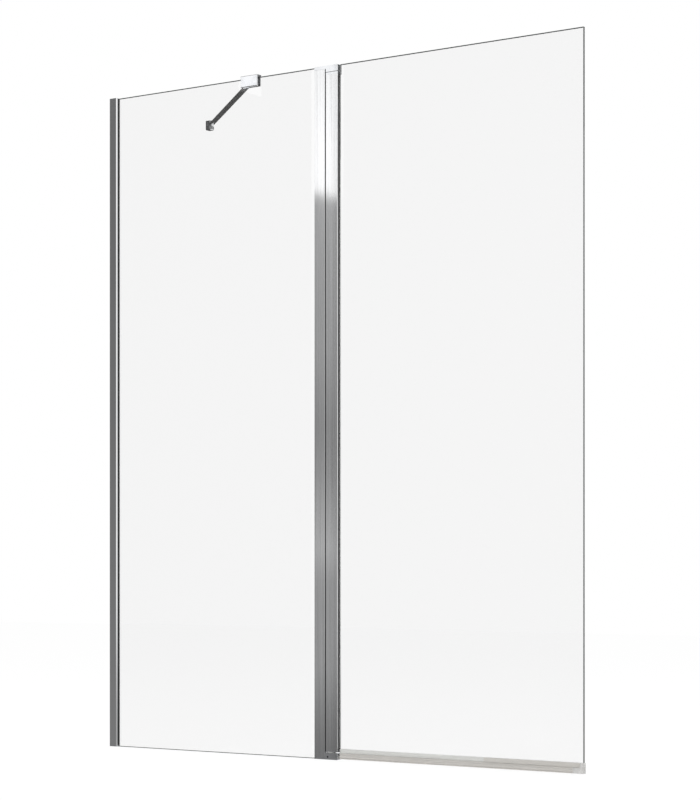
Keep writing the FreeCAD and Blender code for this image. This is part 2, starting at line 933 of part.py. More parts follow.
def door_cap(label, low, thick, ring_low):
    """Plate on one end of the door profile, with a ring that centres it in the bore."""
    body = new_body(label)
    place(body, hinge_x, 0, low)
    plan = draw_outline(new_sketch(body, "XY_Plane"), door_plan(door_edge))
    pad(body, plan, thick)
    round_back_edge(body)
    ring = new_sketch(body, "XY_Plane", ring_low)
    pad(body, draw_circle(ring, 0, 0, bush_radius), size.cap_ring_height)
    hole = new_sketch(body, "XY_Plane")
    draw_circle(hole, 0, 0, size.pin_radius + size.cap_pin_room)
    cut(body, hole, symmetric=True)


def bush(label, low):
    """Plastic bush in the bore of the door profile that turns on a pivot pin."""
    body = new_body(label)
    place(body, hinge_x, 0, low)
    inner = size.pin_radius + size.pin_fit
    revolve(body, box_corners(inner, bush_radius, 0, size.bush_length))


def door_glass():
    """Toughened door pane, notched at both corners beside the hinge."""
    start = door_pocket + size.glass_end_gap
    lower_notch = door_profile_low + size.edge_break
    upper_notch = door_profile_top - size.edge_break
    top = size.panel_height - size.door_glass_drop
    corners = [
        (notch, size.door_glass_bottom),
        (door_free_edge, size.door_glass_bottom),
        (door_free_edge, top),
        (notch, top),
        (notch, upper_notch),
        (start, upper_notch),
        (start, lower_notch),
        (notch, lower_notch),
    ]
    polish_edges(plate_across("door_glass", corners, size.glass_thick, hinge_x))


def bottom_seal():
    """Clip-on seal along the bottom edge of the door glass, with two wipers."""
    leg = glass_half + size.seal_leg
    shoulder = leg + size.seal_shoulder
    wiper = shoulder - size.wiper_setback
    body = new_body("bottom_seal")
    place(body, hinge_x)
    sketch = new_sketch(body, "YZ_Plane", notch)
    half = [
        (0, size.seal_bridge_height),
        (wiper - size.wiper_thick, size.seal_bridge_height),
        (wiper - size.wiper_thick, size.seal_low),
        (wiper, size.seal_low),
        (shoulder, size.seal_low + size.wiper_setback * 2),
        (shoulder, size.seal_body_height),
        (leg, size.seal_body_height + size.seal_shoulder),
        (leg, size.seal_height),
        (glass_half, size.seal_height),
        (glass_half, size.door_glass_bottom),
        (0, size.door_glass_bottom),
    ]
    mirrored = [(-as_size(across), up) for across, up in reversed(half[1:-1])]
    draw_outline(sketch, half[:-1] + mirrored)
    pad(body, sketch, door_free_edge - notch - size.end_piece_upper_length)
    step = new_sketch(body, "XZ_Plane")
    left = door_free_edge - size.end_piece_length
    draw_outline(step, box_corners(left, door_free_edge, -1, size.seal_body_height))
    cut(body, step, symmetric=True)


def seal_end_piece():
    """End piece that closes the seal at the free corner of the door."""
    lower_start = door_free_edge - size.end_piece_length
    upper_start = door_free_edge - size.end_piece_upper_length
    end = door_free_edge + size.end_piece_cover
    corners = [
        (lower_start, size.seal_low),
        (end, size.seal_low),
        (end, size.seal_height),
        (upper_start, size.seal_height),
        (upper_start, size.seal_body_height),
        (lower_start, size.seal_body_height),
    ]
    depth = (glass_half + size.seal_leg + size.seal_shoulder) * 2
    body = plate_across("seal_end_piece", corners, depth, hinge_x)
    slot = new_sketch(body, "XZ_Plane")
    low, high = size.door_glass_bottom, size.seal_height * 2
    draw_outline(slot, box_corners(lower_start - 1, door_free_edge, low, high))
    cut(body, slot, size.glass_thick, symmetric=True)


def seal_cover_strip():
    """Strip that stiffens the seal at the free end of the door, on the room side."""
    low = size.seal_body_height + size.seal_shoulder + size.strip_bottom_gap
    strip = box_part(
        "strip_box", size.strip_length, size.strip_thick, size.seal_height - low
    )
    start = size.total_width - size.end_piece_upper_length - size.strip_length
    front = -(glass_half + size.seal_leg + size.strip_thick)
    place(strip, start, front, low)
    keep(strip, "seal_cover_strip")


# -------------------------------------------------------------- clamp, arm, wall bracket


def clamp_body():
    """Saddle over the top edge of the fixed glass, with ears for the arm behind it."""
    body = new_body("clamp_body")
    place(body, size.clamp_centre)
    jaw = glass_half + size.clamp_pad_thick
    bridge = size.panel_height + size.clamp_bridge_room
    corners = [
        (-size.clamp_front_depth, clamp_low),
        (-jaw, clamp_low),
        (-jaw, bridge),
        (jaw, bridge),
        (jaw, clamp_low),
        (size.clamp_back_depth, clamp_low),
        (size.clamp_back_depth, clamp_top),
        (-size.clamp_front_depth, clamp_top),
    ]
    pad(body, draw_outline(new_sketch(body, "YZ_Plane"), corners), size.clamp_width, True)
    half = size.clamp_width / 2
    front = -size.clamp_front_depth
    test = upright_at((half, front), (-half, front))
    dress(body, "Chamfer", edges_where(body.Tip, test), "Size", size.clamp_bevel)
    back = upright_at((half, size.clamp_back_depth), (-half, size.clamp_back_depth))
    dress(body, "Fillet", edges_where(body.Tip, back), "Radius", size.clamp_back_round)
    clamp_ears(body)
    screws = new_sketch(body, "XZ_Plane")
    height = size.panel_height - size.clamp_screw_drop
    for sign in (-1, 1):
        across = size.clamp_screw_spacing / 2 * sign
        draw_circle(screws, across, height, size.clamp_screw_radius)
    cut(body, screws)


def clamp_ears(body):
    """Add the two ears behind the clamp and bore them for the arm's pin."""
    ears_low = arm_low - size.arm_clearance - size.ear_thick
    ears_high = arm_low + size.arm_bar + size.arm_clearance + size.ear_thick
    ear_left = -size.arm_pivot_offset - size.ear_width / 2
    ear_right = -size.arm_pivot_offset + size.ear_width / 2
    ear_back = size.clamp_back_depth + size.ear_length
    plan = new_sketch(body, "XY_Plane", ears_low)
    draw_outline(plan, box_corners(ear_left, ear_right, size.clamp_back_depth, ear_back))
    pad(body, plan, ears_high - ears_low)
    test = upright_at((ear_left, ear_back), (ear_right, ear_back))
    dress(body, "Fillet", edges_where(body.Tip, test), "Radius", size.ear_round)
    slot = new_sketch(body, "YZ_Plane")
    front = size.clamp_back_depth + size.arm_clearance
    low, high = ears_low + size.ear_thick, ears_high - size.ear_thick
    draw_outline(slot, box_corners(front, ear_back + 1, low, high))
    cut(body, slot, size.clamp_width, symmetric=True)
    bore = new_sketch(body, "XY_Plane")
    draw_circle(bore, -size.arm_pivot_offset, size.arm_pivot_depth, size.arm_pin_radius)
    cut(body, bore, reverse=True)


def clamp_pad(side, front):
    """Soft pad between one jaw of the clamp and the glass."""
    length = size.clamp_width - size.clamp_pad_inset * 2
    low = size.panel_height - size.clamp_pad_drop
    soft = box_part(f"{side}_pad_box", length, size.clamp_pad_thick, size.clamp_pad_drop)
    place(soft, size.clamp_centre - length / 2, front, low)
    keep(soft, f"clamp_pad_{side}")


def clamp_screws():
    """Two grub screws that press the back pad against the glass."""
    body = new_body("clamp_screws")
    turn_to(body, (1, 0, 0), -90)
    left = size.clamp_centre - size.clamp_screw_spacing / 2
    place(body, left, 0, size.panel_height - size.clamp_screw_drop)
    radius = size.clamp_screw_radius
    tip = glass_half + size.clamp_pad_thick
    end = size.clamp_back_depth - size.clamp_screw_setback
    corners = [
        (0, tip),
        (radius, tip),
        (radius, end),
        (radius / 2, end),
        (0, end - size.clamp_screw_socket),
    ]
    repeat(body, revolve(body, corners), "X_Axis", size.clamp_screw_spacing, 2)


def arm_pivot_pin():
    """Headed pin through the clamp's ears and the end of the arm."""
    body = new_body("arm_pivot_pin")
    low = arm_low - size.arm_clearance - size.ear_thick
    head = arm_low + size.arm_bar + size.arm_clearance + size.ear_thick
    across = size.clamp_centre - size.arm_pivot_offset
    place(body, across, size.arm_pivot_depth)
    corners = [
        (0, low),
        (size.arm_pin_radius, low),
        (size.arm_pin_radius, head),
        (size.arm_head_radius, head),
        (size.arm_head_radius, head + size.arm_head_height),
        (0, head + size.arm_head_height),
    ]
    revolve(body, corners)


def stabiliser_arm():
    """Square bar between the clamp and the wall bracket, round and bored at both ends."""
    run_x = size.bracket_pin_reach - size.clamp_centre + size.arm_pivot_offset
    run_y = size.bracket_depth - size.arm_pivot_depth
    length = Size(
        (run_x.number**2 + run_y.number**2) ** 0.5,
        f"sqrt({run_x.text} ^ 2 + {run_y.text} ^ 2)",
    )
    half = size.arm_bar / 2
    bar = box_part("arm_bar_box", length, size.arm_bar, size.arm_bar)
    place(bar, 0, -half)
    ends, bores = [], []
    for spot, name in ((0, "clamp"), (length, "wall")):
        end = cylinder_part(f"arm_{name}_end", half, size.arm_bar)
        bore = cylinder_part(
            f"arm_{name}_bore", size.arm_pin_radius + size.pin_fit, size.arm_bar * 2
        )
        place(end, spot)
        place(bore, spot, 0, -half)
        ends.append(end)
        bores.append(bore)
    solid = DOC.addObject("Part::MultiFuse", "arm_solid")
    solid.Shapes = [bar] + ends
    tools = DOC.addObject("Part::MultiFuse", "arm_bores")
    tools.Shapes = bores
    arm = DOC.addObject("Part::Cut", "arm_bored")
    arm.Base = solid
    arm.Tool = tools
    place(arm, size.clamp_centre - size.arm_pivot_offset, size.arm_pivot_depth, arm_low)
    arm.Placement.Rotation = FreeCAD.Rotation(FreeCAD.Vector(0, 0, 1), 0)
    arm.setExpression("Placement.Rotation.Angle", f"atan2({run_y.text}; {run_x.text})")
    keep(arm, "stabiliser_arm")


def wall_bracket():
    """Bracket on the wall with a round nose, slotted for the arm and bored for a stud."""
    body = new_body("wall_bracket")
    place(body, 0, size.bracket_depth, bracket_low)
    half, reach = size.bracket_width / 2, size.bracket_pin_reach
    base = draw_outline(new_sketch(body, "XY_Plane"), box_corners(0, reach, -half, half))
    pad(body, base, size.bracket_height)
    nose = draw_circle(new_sketch(body, "XY_Plane"), reach, 0, half)
    pad(body, nose, size.bracket_height)
    slot_low = arm_low - size.arm_clearance - bracket_low
    slot_high = slot_low + size.arm_bar + size.arm_clearance * 2
    slot_back = reach - size.arm_bar / 2 - size.arm_clearance
    slot = new_sketch(body, "XZ_Plane")
    draw_outline(slot, box_corners(slot_back, reach + half + 1, slot_low, slot_high))
    cut(body, slot, size.bracket_width * 2, symmetric=True)
    bore = draw_circle(new_sketch(body, "XY_Plane"), reach, 0, size.arm_pin_radius)
    cut(body, bore, slot_high + size.bracket_pin_grip, reverse=True)
    stud = new_sketch(body, "YZ_Plane")
    draw_circle(stud, 0, size.stud_hole_height, size.stud_hole_radius)
    cut(body, stud, size.stud_hole_depth, reverse=True)
    bevel_under_bracket(body, half)


def bevel_under_bracket(body, half):
    """Bevel the two straight lower edges of the wall bracket."""

    def on_lower_side(point):
        return abs(point.z) < 1e-4 and abs(abs(point.y) - half.number) < 1e-4

    names = edges_where(body.Tip, on_lower_side)
    sides = [name for name in names if abs(edge_run(body.Tip, name).y) < 1e-4]
    dress(body, "Chamfer", sides, "Size", size.bracket_bevel)


def wall_bracket_pin():
    """Pin pressed into the wall bracket from below, on which the arm turns."""
    body = new_body("wall_bracket_pin")
    place(body, size.bracket_pin_reach, size.bracket_depth, bracket_low)
    slot_low = arm_low - size.arm_clearance - bracket_low
    slot_high = slot_low + size.arm_bar + size.arm_clearance * 2
    revolve(body, box_corners(0, size.arm_pin_radius, 0, slot_high + size.bracket_pin_grip))


# -------------------------------------------------------------------------------- build


def build_fixed_panel():
    """Build everything that stays with the wall and the fixed glass."""
    wall_profile()
    glass_profile()
    wall_gasket("front", -1)
    wall_gasket("back", 1)
    top_thick, bottom_thick = size.wall_top_cap_thick, size.wall_bottom_cap_thick
    wall_end_cap("wall_top_cap", wall_profile_top, top_thick, -size.cap_spigot_length)
    wall_end_cap("wall_bottom_cap", 0, bottom_thick, bottom_thick)
    adjusting_screws()
    screw_covers()
    glass_packers()
    fixed_glass()
    screw_x = fixed_hinge_profile()
    fixed_hinge_gasket("front", -1)
    fixed_hinge_gasket("back", 1)
    fixed_hinge_cap("fixed_hinge_top_cap", top_plate_low, size.panel_height)
    fixed_hinge_cap("fixed_hinge_bottom_cap", as_size(0), size.foot_plate_thick)
    hinge_seal()
    top_pivot_block(screw_x)
    bottom_pivot_block(screw_x)
    block_screw("top_block_screw", screw_x, size.panel_height, False)
    block_screw("bottom_block_screw", screw_x, 0, True)
    top_pin_low = top_bush_high - size.bush_length + size.bush_end_room
    bottom_pin_high = bottom_bush_low + size.bush_length - size.bush_end_room
    pivot_pin("top_pivot_pin", top_pin_low, size.panel_height - size.pin_top_setback)
    pivot_pin(
        "bottom_pivot_pin", size.pin_seat_floor, bottom_pin_high, size.retaining_screw_height
    )
    thrust_washer()
    retaining_screw()


def build_door():
    """Build everything that swings with the door."""
    door_hinge_profile()
    door_gasket("front", -1)
    door_gasket("back", 1)
    door_cap("door_top_cap", door_profile_top, size.door_top_cap_thick, -size.cap_ring_height)
    door_cap(
        "door_bottom_cap", door_low, size.door_bottom_cap_thick, size.door_bottom_cap_thick
    )
    bush("top_bush", top_bush_high - size.bush_length)
    bush("bottom_bush", bottom_bush_low)
    door_glass()
    bottom_seal()
    seal_end_piece()
    seal_cover_strip()


def build_stabiliser():
    """Build the clamp, the arm and the bracket that hold the fixed glass to the wall."""
    clamp_body()
    clamp_pad("front", -(glass_half + size.clamp_pad_thick))
    clamp_pad("back", glass_half)
    clamp_screws()
    arm_pivot_pin()
    stabiliser_arm()
    wall_bracket()
    wall_bracket_pin()


def check_model():
    """Stop if an object failed, a shape is missing or a cut took nothing away."""
    DOC.recompute()
    for thing in DOC.Objects:
        if {"Invalid", "Error"} & set(thing.State):
            raise RuntimeError(f"{thing.Name} failed: {thing.State}")
    for base, feature in CUTS:
        if not feature.Shape.Volume < base.Shape.Volume - 1e-6:
            raise RuntimeError(f"{feature.Name} cuts nothing")
    for thing in NODES:
        if thing.Shape.isNull() or not thing.Shape.isValid():
            raise RuntimeError(f"{thing.Label} has no valid shape")


def export_nodes():
    """Write each sub-part to its own file."""
    os.makedirs("parts", exist_ok=True)
    for thing in NODES:
        thing.Shape.exportStep(f"parts/{thing.Label}.step")
    print(f"{len(NODES)} sub-parts written")


build_fixed_panel()
build_door()
build_stabiliser()
check_model()
export_nodes()
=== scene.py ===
"""Looks of the bath screen: finishes, detailed soft pieces and the studio around the CAD part."""

import logging
import math
from dataclasses import dataclass
from enum import Enum
from typing import Callable

import bmesh
import bpy
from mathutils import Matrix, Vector


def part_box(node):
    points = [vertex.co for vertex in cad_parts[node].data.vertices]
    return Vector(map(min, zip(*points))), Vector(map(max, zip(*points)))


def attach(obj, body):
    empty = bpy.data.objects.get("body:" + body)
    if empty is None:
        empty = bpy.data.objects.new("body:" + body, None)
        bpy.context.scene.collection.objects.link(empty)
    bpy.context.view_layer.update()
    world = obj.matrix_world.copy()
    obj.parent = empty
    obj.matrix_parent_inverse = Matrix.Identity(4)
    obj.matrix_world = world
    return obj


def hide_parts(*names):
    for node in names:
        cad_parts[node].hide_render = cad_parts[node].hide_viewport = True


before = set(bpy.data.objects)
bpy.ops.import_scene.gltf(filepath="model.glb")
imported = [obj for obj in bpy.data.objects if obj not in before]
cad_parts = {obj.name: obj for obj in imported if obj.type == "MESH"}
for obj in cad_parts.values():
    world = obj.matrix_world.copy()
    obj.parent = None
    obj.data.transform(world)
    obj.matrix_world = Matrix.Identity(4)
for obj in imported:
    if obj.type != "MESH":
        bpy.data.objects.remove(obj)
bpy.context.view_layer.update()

MM = 0.001
# How far off, in millimetres, a corner may lie and still be taken for the one looked up.
NEAR = 0.02
# A face looks along an axis if its normal has more than this share of it.
FACING = 0.9
# Creases flatter than this many degrees are shaded smooth.
SMOOTH_ANGLE = 35
# The sRGB curve: a straight foot with a slope, then a power with an offset.
SRGB_FOOT, SRGB_SLOPE, SRGB_OFFSET, SRGB_POWER = 0.04045, 12.92, 0.055, 2.4
# A noise seldom leaves this span.
NOISE_SPAN = (0.3, 0.7)
GLASS_IOR = 1.52
PVC_IOR = 1.53
PLASTIC_IOR = 1.5
# Numbers of the Mix node's sockets for colours.
MIX_FIRST, MIX_SECOND, MIX_RESULT = 6, 7, 2
WHITE = "#FFFFFF"
LOG = logging.getLogger("bath_screen")

FaceTest = Callable[[Vector, Vector], bool]
PointTest = Callable[[Vector], bool]
EdgeTest = Callable[[Vector, Vector], bool]
Tree = bpy.types.NodeTree
Node = bpy.types.Node
Socket = bpy.types.NodeSocket


class Axis(Enum):
    """The three directions of the shared frame."""

    X = 0
    Y = 1
    Z = 2

    @property
    def unit(self) -> Vector:
        """Return the unit vector along this axis."""
        return Vector([float(self.value == place) for place in range(3)])


def linear(colour: str) -> tuple[float, float, float, float]:
    """Turn an sRGB hex colour into the linear one that Blender's sockets take.

    Args:
        colour: six hex digits after a hash sign.

    Returns:
        Red, green, blue and an alpha of 1, linear.
    """
    parts = [int(colour[at : at + 2], 16) / 255 for at in (1, 3, 5)]
    straight = [
        p / SRGB_SLOPE
        if p <= SRGB_FOOT
        else ((p + SRGB_OFFSET) / (1 + SRGB_OFFSET)) ** SRGB_POWER
        for p in parts
    ]
    return (*straight, 1.0)


def box_of(node: str) -> tuple[Vector, Vector]:
    """Give a CAD node's box in millimetres.

    Args:
        node: the CAD node's name.

    Returns:
        The lowest and the highest corner.
    """
    low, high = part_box(node)
    return low / MM, high / MM


# --------------------------------------------------------------------------- modelling


class Workpiece:
    """One piece on the bench, shaped in edit mode with Blender's own tools, in millimetres."""

    def __init__(self, name: str, thing: bpy.types.Object) -> None:
        """Take a fresh primitive onto the bench.

        Args:
            name: the finished piece's name.
            thing: the primitive's object, selected and active.
        """
        thing.name = thing.data.name = name
        bpy.ops.object.transform_apply(location=True, rotation=True, scale=True)
        self.thing = thing

    @classmethod
    def block(cls, name: str, low: Vector, high: Vector) -> "Workpiece":
        """Start from a cube primitive between two corners.

        Args:
            name: the piece's name.
            low: the lowest corner.
            high: the highest corner.

        Returns:
            The new workpiece.
        """
        bpy.ops.object.select_all(action="DESELECT")
        low, high = Vector(low) * MM, Vector(high) * MM
        bpy.ops.mesh.primitive_cube_add(size=1, location=(low + high) / 2, scale=high - low)
        return cls(name, bpy.context.object)

    def _mesh(self) -> bmesh.types.BMesh:
        """Enter edit mode with nothing selected and return the edited mesh."""
        bpy.context.view_layer.objects.active = self.thing
        if self.thing.mode != "EDIT":
            bpy.ops.object.mode_set(mode="EDIT")
        bpy.ops.mesh.select_all(action="DESELECT")
        return bmesh.from_edit_mesh(self.thing.data)

    def faces(self, test: FaceTest) -> None:
        """Select the faces whose centre and normal pass a test.

        Args:
            test: takes a face's centre in millimetres and its normal.
        """
        mesh = self._mesh()
        bpy.context.tool_settings.mesh_select_mode = (False, False, True)
        mesh.normal_update()
        for face in mesh.faces:
            face.select = bool(test(face.calc_center_median() / MM, face.normal))
        mesh.select_flush_mode()
        bmesh.update_edit_mesh(self.thing.data)

    def edges(self, test: EdgeTest) -> None:
        """Select the edges whose two ends pass a test.

        Args:
            test: takes an edge's two ends in millimetres.
        """
        mesh = self._mesh()
        bpy.context.tool_settings.mesh_select_mode = (False, True, False)
        for edge in mesh.edges:
            ends = [corner.co / MM for corner in edge.verts]
            edge.select = bool(test(*ends))
        mesh.select_flush_mode()
        bmesh.update_edit_mesh(self.thing.data)

    def points(self, test: PointTest) -> None:
        """Select the corners whose place passes a test.

        Args:
            test: takes a corner's place in millimetres.
        """
        mesh = self._mesh()
        bpy.context.tool_settings.mesh_select_mode = (True, False, False)
        for corner in mesh.verts:
            corner.select = bool(test(corner.co / MM))
        mesh.select_flush_mode()
        bmesh.update_edit_mesh(self.thing.data)

    def everything(self) -> None:
        """Select the whole mesh."""
        self._mesh()
        bpy.ops.mesh.select_all(action="SELECT")

    def slice(self, axis: Axis, *places: float) -> None:
        """Cut the mesh's faces along planes across an axis.

        Args:
            axis: the direction that the planes face.
            places: where each plane stands on that axis.
        """
        for place in places:
            self.everything()
            spot = axis.unit * place * MM
            bpy.ops.mesh.bisect(plane_co=spot, plane_no=axis.unit)

    def pull(self, x: float = 0, y: float = 0, z: float = 0) -> None:
        """Extrude the selected faces or edges by a distance.

        Args:
            x: distance along X.
            y: distance along Y.
            z: distance along Z.
        """
        step = Vector((x, y, z)) * MM
        bpy.ops.mesh.extrude_region_move(TRANSFORM_OT_translate={"value": step})

    def shift(self, x: float = 0, y: float = 0, z: float = 0) -> None:
        """Move what is selected by a distance.

        Args:
            x: distance along X.
            y: distance along Y.
            z: distance along Z.
        """
        bpy.ops.transform.translate(value=Vector((x, y, z)) * MM)

    def bevel(self, width: float, segments: int = 2) -> None:
        """Bevel the selected edges.

        Args:
            width: the bevel's width.
            segments: how many facets it gets.
        """
        bpy.ops.mesh.bevel(offset=width * MM, segments=segments, affect="EDGES")

    def inset(self, width: float, depth: float = 0) -> None:
        """Inset the selected faces.

        Args:
            width: how far the new edge runs inside the old one.
            depth: how far the inner face moves along its normal.
        """
        bpy.ops.mesh.inset(thickness=width * MM, depth=depth * MM)

    def remove_faces(self) -> None:
        """Delete the selected faces."""
        bpy.ops.mesh.delete(type="FACE")

    def fill_holes(self) -> None:
        """Close the holes whose edges are selected."""
        bpy.ops.mesh.fill_holes(sides=0)

    def leave(self) -> bpy.types.Object:
        """Merge doubles, point the faces outwards and leave edit mode.

        Returns:
            The piece's object.
        """
        self.everything()
        bpy.ops.mesh.remove_doubles(threshold=NEAR * MM / 10)
        bpy.ops.mesh.normals_make_consistent(inside=False)
        bpy.ops.object.mode_set(mode="OBJECT")
        return self.thing

    def soften(self, width: float, segments: int = 2, angle: float = 30) -> None:
        """Round the mesh's sharp edges with a Bevel modifier and apply it.

        Args:
            width: the rounding's width.
            segments: how many facets it gets.
            angle: edges sharper than this many degrees are rounded.
        """
        self.leave()
        rounding = self.thing.modifiers.new("rounded_edges", "BEVEL")
        rounding.width = width * MM
        rounding.segments = segments
        rounding.limit_method = "ANGLE"
        rounding.angle_limit = math.radians(angle)
        rounding.use_clamp_overlap = True
        bpy.ops.object.modifier_apply(modifier=rounding.name)

    def finish(self, body: str, slot: str, finish: "Finish", *nodes: str) -> None:
        """Hand the finished piece over: smooth, coated, on its body and in place of its CAD nodes.

        Args:
            body: the CAD body that it rides on.
            slot: the record's material slot; not used.
            finish: the finish it gets.
            nodes: the CAD nodes that it replaces.
        """
        thing = self.leave()
        bpy.ops.object.select_all(action="DESELECT")
        thing.select_set(True)
        bpy.ops.object.shade_smooth_by_angle(angle=math.radians(SMOOTH_ANGLE))
        thing.data.materials.clear()
        thing.data.materials.append(finish.material())
        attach(thing, body)
        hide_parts(*nodes)
        LOG.info("piece %s on %s, %d faces", thing.name, body, len(thing.data.polygons))


# --------------------------------------------------------------------------- finishes


def add_node(
    tree: Tree,
    kind: str,
    settings: dict[str | int, object] | None = None,
    links: dict[str | int, Socket] | None = None,
) -> Node:
    """Add one node to a tree, with its settings and its links.

    Args:
        tree: the material's or world's node tree.
        kind: the node's type.
        settings: values by the name of a property, or the name or number of an input.
        links: outputs of other nodes by the name or number of the input that they feed.

    Returns:
        The new node.
    """
    node = tree.nodes.new(kind)
    for name, value in (settings or {}).items():
        if isinstance(name, str) and hasattr(node, name):
            setattr(node, name, value)
        else:
            node.inputs[name].default_value = value
    for name, output in (links or {}).items():
        tree.links.new(output, node.inputs[name])
    return node


def larger(tree: Tree, first: Socket, second: Socket) -> Socket:
    """Take the larger of two values.

    Args:
        tree: the node tree.
        first: one value.
        second: the other value.

    Returns:
        The larger value.
    """
    node = add_node(tree, "ShaderNodeMath", {"operation": "MAXIMUM"}, {0: first, 1: second})
    return node.outputs[0]


class Run(Enum):
    """Which way a drawn or extruded surface's lines run."""

    UPRIGHT = "upright"
    ALONG_ARM = "along_arm"
    NONE = "even"


@dataclass(frozen=True)
class Finish:
    """A surface finish: its name and its two nearby colours."""

    name: str
    colour: str
    shade: str

    def material(self) -> bpy.types.Material:
        """Return the finish's material, made on its first use."""
        made = bpy.data.materials.get(self.name)
        if made is None:
            made = bpy.data.materials.new(self.name)
            made.use_nodes = True
            self.lay(made.node_tree, made.node_tree.nodes["Principled BSDF"])
        return made

    def lay(self, tree: Tree, surface: Node) -> None:
        """Lay the finish's nodes; each kind of finish has its own way."""
        raise NotImplementedError

    def grain(
        self,
        tree: Tree,
        pitch: tuple[float, float, float],
        turn: float = 0,
        detail: float = 2,
    ) -> Socket:
        """Lay a noise whose features have a real size along each axis of the object.

        Args:
            tree: the material's node tree.
            pitch: the features' size along X, Y and Z in millimetres.
            turn: degrees that the pattern is turned about Z.
            detail: how many finer layers it has.

        Returns:
            The noise's value, around a half.
        """
        place = add_node(tree, "ShaderNodeTexCoord").outputs["Object"]
        turned = add_node(
            tree,
            "ShaderNodeMapping",
            {"vector_type": "TEXTURE", "Rotation": (0, 0, math.radians(turn))},
            {"Vector": place},
        )
        scaled = add_node(
            tree,
            "ShaderNodeMapping",
            {"Scale": [1 / (size * MM) for size in pitch]},
            {"Vector": turned.outputs["Vector"]},
        )
        noise = add_node(
            tree,
            "ShaderNodeTexNoise",
            {"Scale": 1, "Detail": detail},
            {"Vector": scaled.outputs["Vector"]},
        )
        return noise.outputs["Fac"]

    def vary_colour(self, tree: Tree, surface: Node, amount: Socket) -> None:
        """Blend the finish's two colours into its base colour.

        Args:
            tree: the material's node tree.
            surface: the Principled BSDF.
            amount: the pattern that blends them, around a half.
        """
        blend = add_node(
            tree,
            "ShaderNodeMix",
            {
                "data_type": "RGBA",
                MIX_FIRST: linear(self.colour),
                MIX_SECOND: linear(self.shade),
            },
            {0: amount},
        )
        tree.links.new(blend.outputs[MIX_RESULT], surface.inputs["Base Color"])

    def vary_roughness(
        self,
        tree: Tree,
        surface: Node,
        amount: Socket,
        span: tuple[float, float],
    ) -> None:
        """Spread a pattern over a span of roughness.

        Args:
            tree: the material's node tree.
            surface: the Principled BSDF.
            amount: the pattern, around a half.
            span: the lowest and the highest roughness.
        """
        spread = add_node(
            tree,
            "ShaderNodeMapRange",
            {
                "From Min": NOISE_SPAN[0],
                "From Max": NOISE_SPAN[1],
                "To Min": span[0],
                "To Max": span[1],
            },
            {"Value": amount},
        )
        tree.links.new(spread.outputs["Result"], surface.inputs["Roughness"])

    def raise_bump(self, tree: Tree, surface: Node, height: Socket, depth: float) -> None:
        """Give the surface a relief of a real depth.

        Args:
            tree: the material's node tree.
            surface: the Principled BSDF.
            height: the pattern.
            depth: the relief's depth in millimetres.
        """
        bump = add_node(
            tree, "ShaderNodeBump", {"Strength": 1, "Distance": depth * MM}, {"Height": height}
        )
        tree.links.new(bump.outputs["Normal"], surface.inputs["Normal"])


@dataclass(frozen=True)
class DrawnMetal(Finish):
    """Metal with fine lines along its length, from the extrusion die and the buffing wheel."""

    run: Run = Run.UPRIGHT
    roughness: tuple[float, float] = (0.06, 0.13)
    line_pitch: float = 2.4
    line_length: float = 420
    line_depth: float = 0.0006
    cloud: float = 90
    turn: float = 0

    def lay(self, tree: Tree, surface: Node) -> None:
        """Lay the lines, the clouds of the anodised layer and the mirror under them.

        Args:
            tree: the material's node tree.
            surface: the Principled BSDF.
        """
        surface.inputs["Metallic"].default_value = 1
        thin, long = self.line_pitch, self.line_length
        pitch = {
            Run.UPRIGHT: (thin, thin, long),
            Run.ALONG_ARM: (long, thin, thin),
            Run.NONE: (thin, thin, thin),
        }[self.run]
        lines = self.grain(tree, pitch, self.turn)
        clouds = self.grain(tree, (self.cloud,) * 3, detail=3)
        self.vary_colour(tree, surface, clouds)
        self.vary_roughness(tree, surface, lines, self.roughness)
        self.raise_bump(tree, surface, lines, self.line_depth)


@dataclass(frozen=True)
class PlatedMetal(Finish):
    """Bright plate over a casting: a mirror with the soft waves of the polished metal under it."""

    roughness: tuple[float, float] = (0.03, 0.09)
    wave: float = 6
    wave_depth: float = 0.0012
    smudge: float = 18

    def lay(self, tree: Tree, surface: Node) -> None:
        """Lay the waves and the faint smudges.

        Args:
            tree: the material's node tree.
            surface: the Principled BSDF.
        """
        surface.inputs["Metallic"].default_value = 1
        smudges = self.grain(tree, (self.smudge,) * 3, detail=4)
        waves = self.grain(tree, (self.wave,) * 3, detail=0)
        self.vary_colour(tree, surface, smudges)
        self.vary_roughness(tree, surface, smudges, self.roughness)
        self.raise_bump(tree, surface, waves, self.wave_depth)


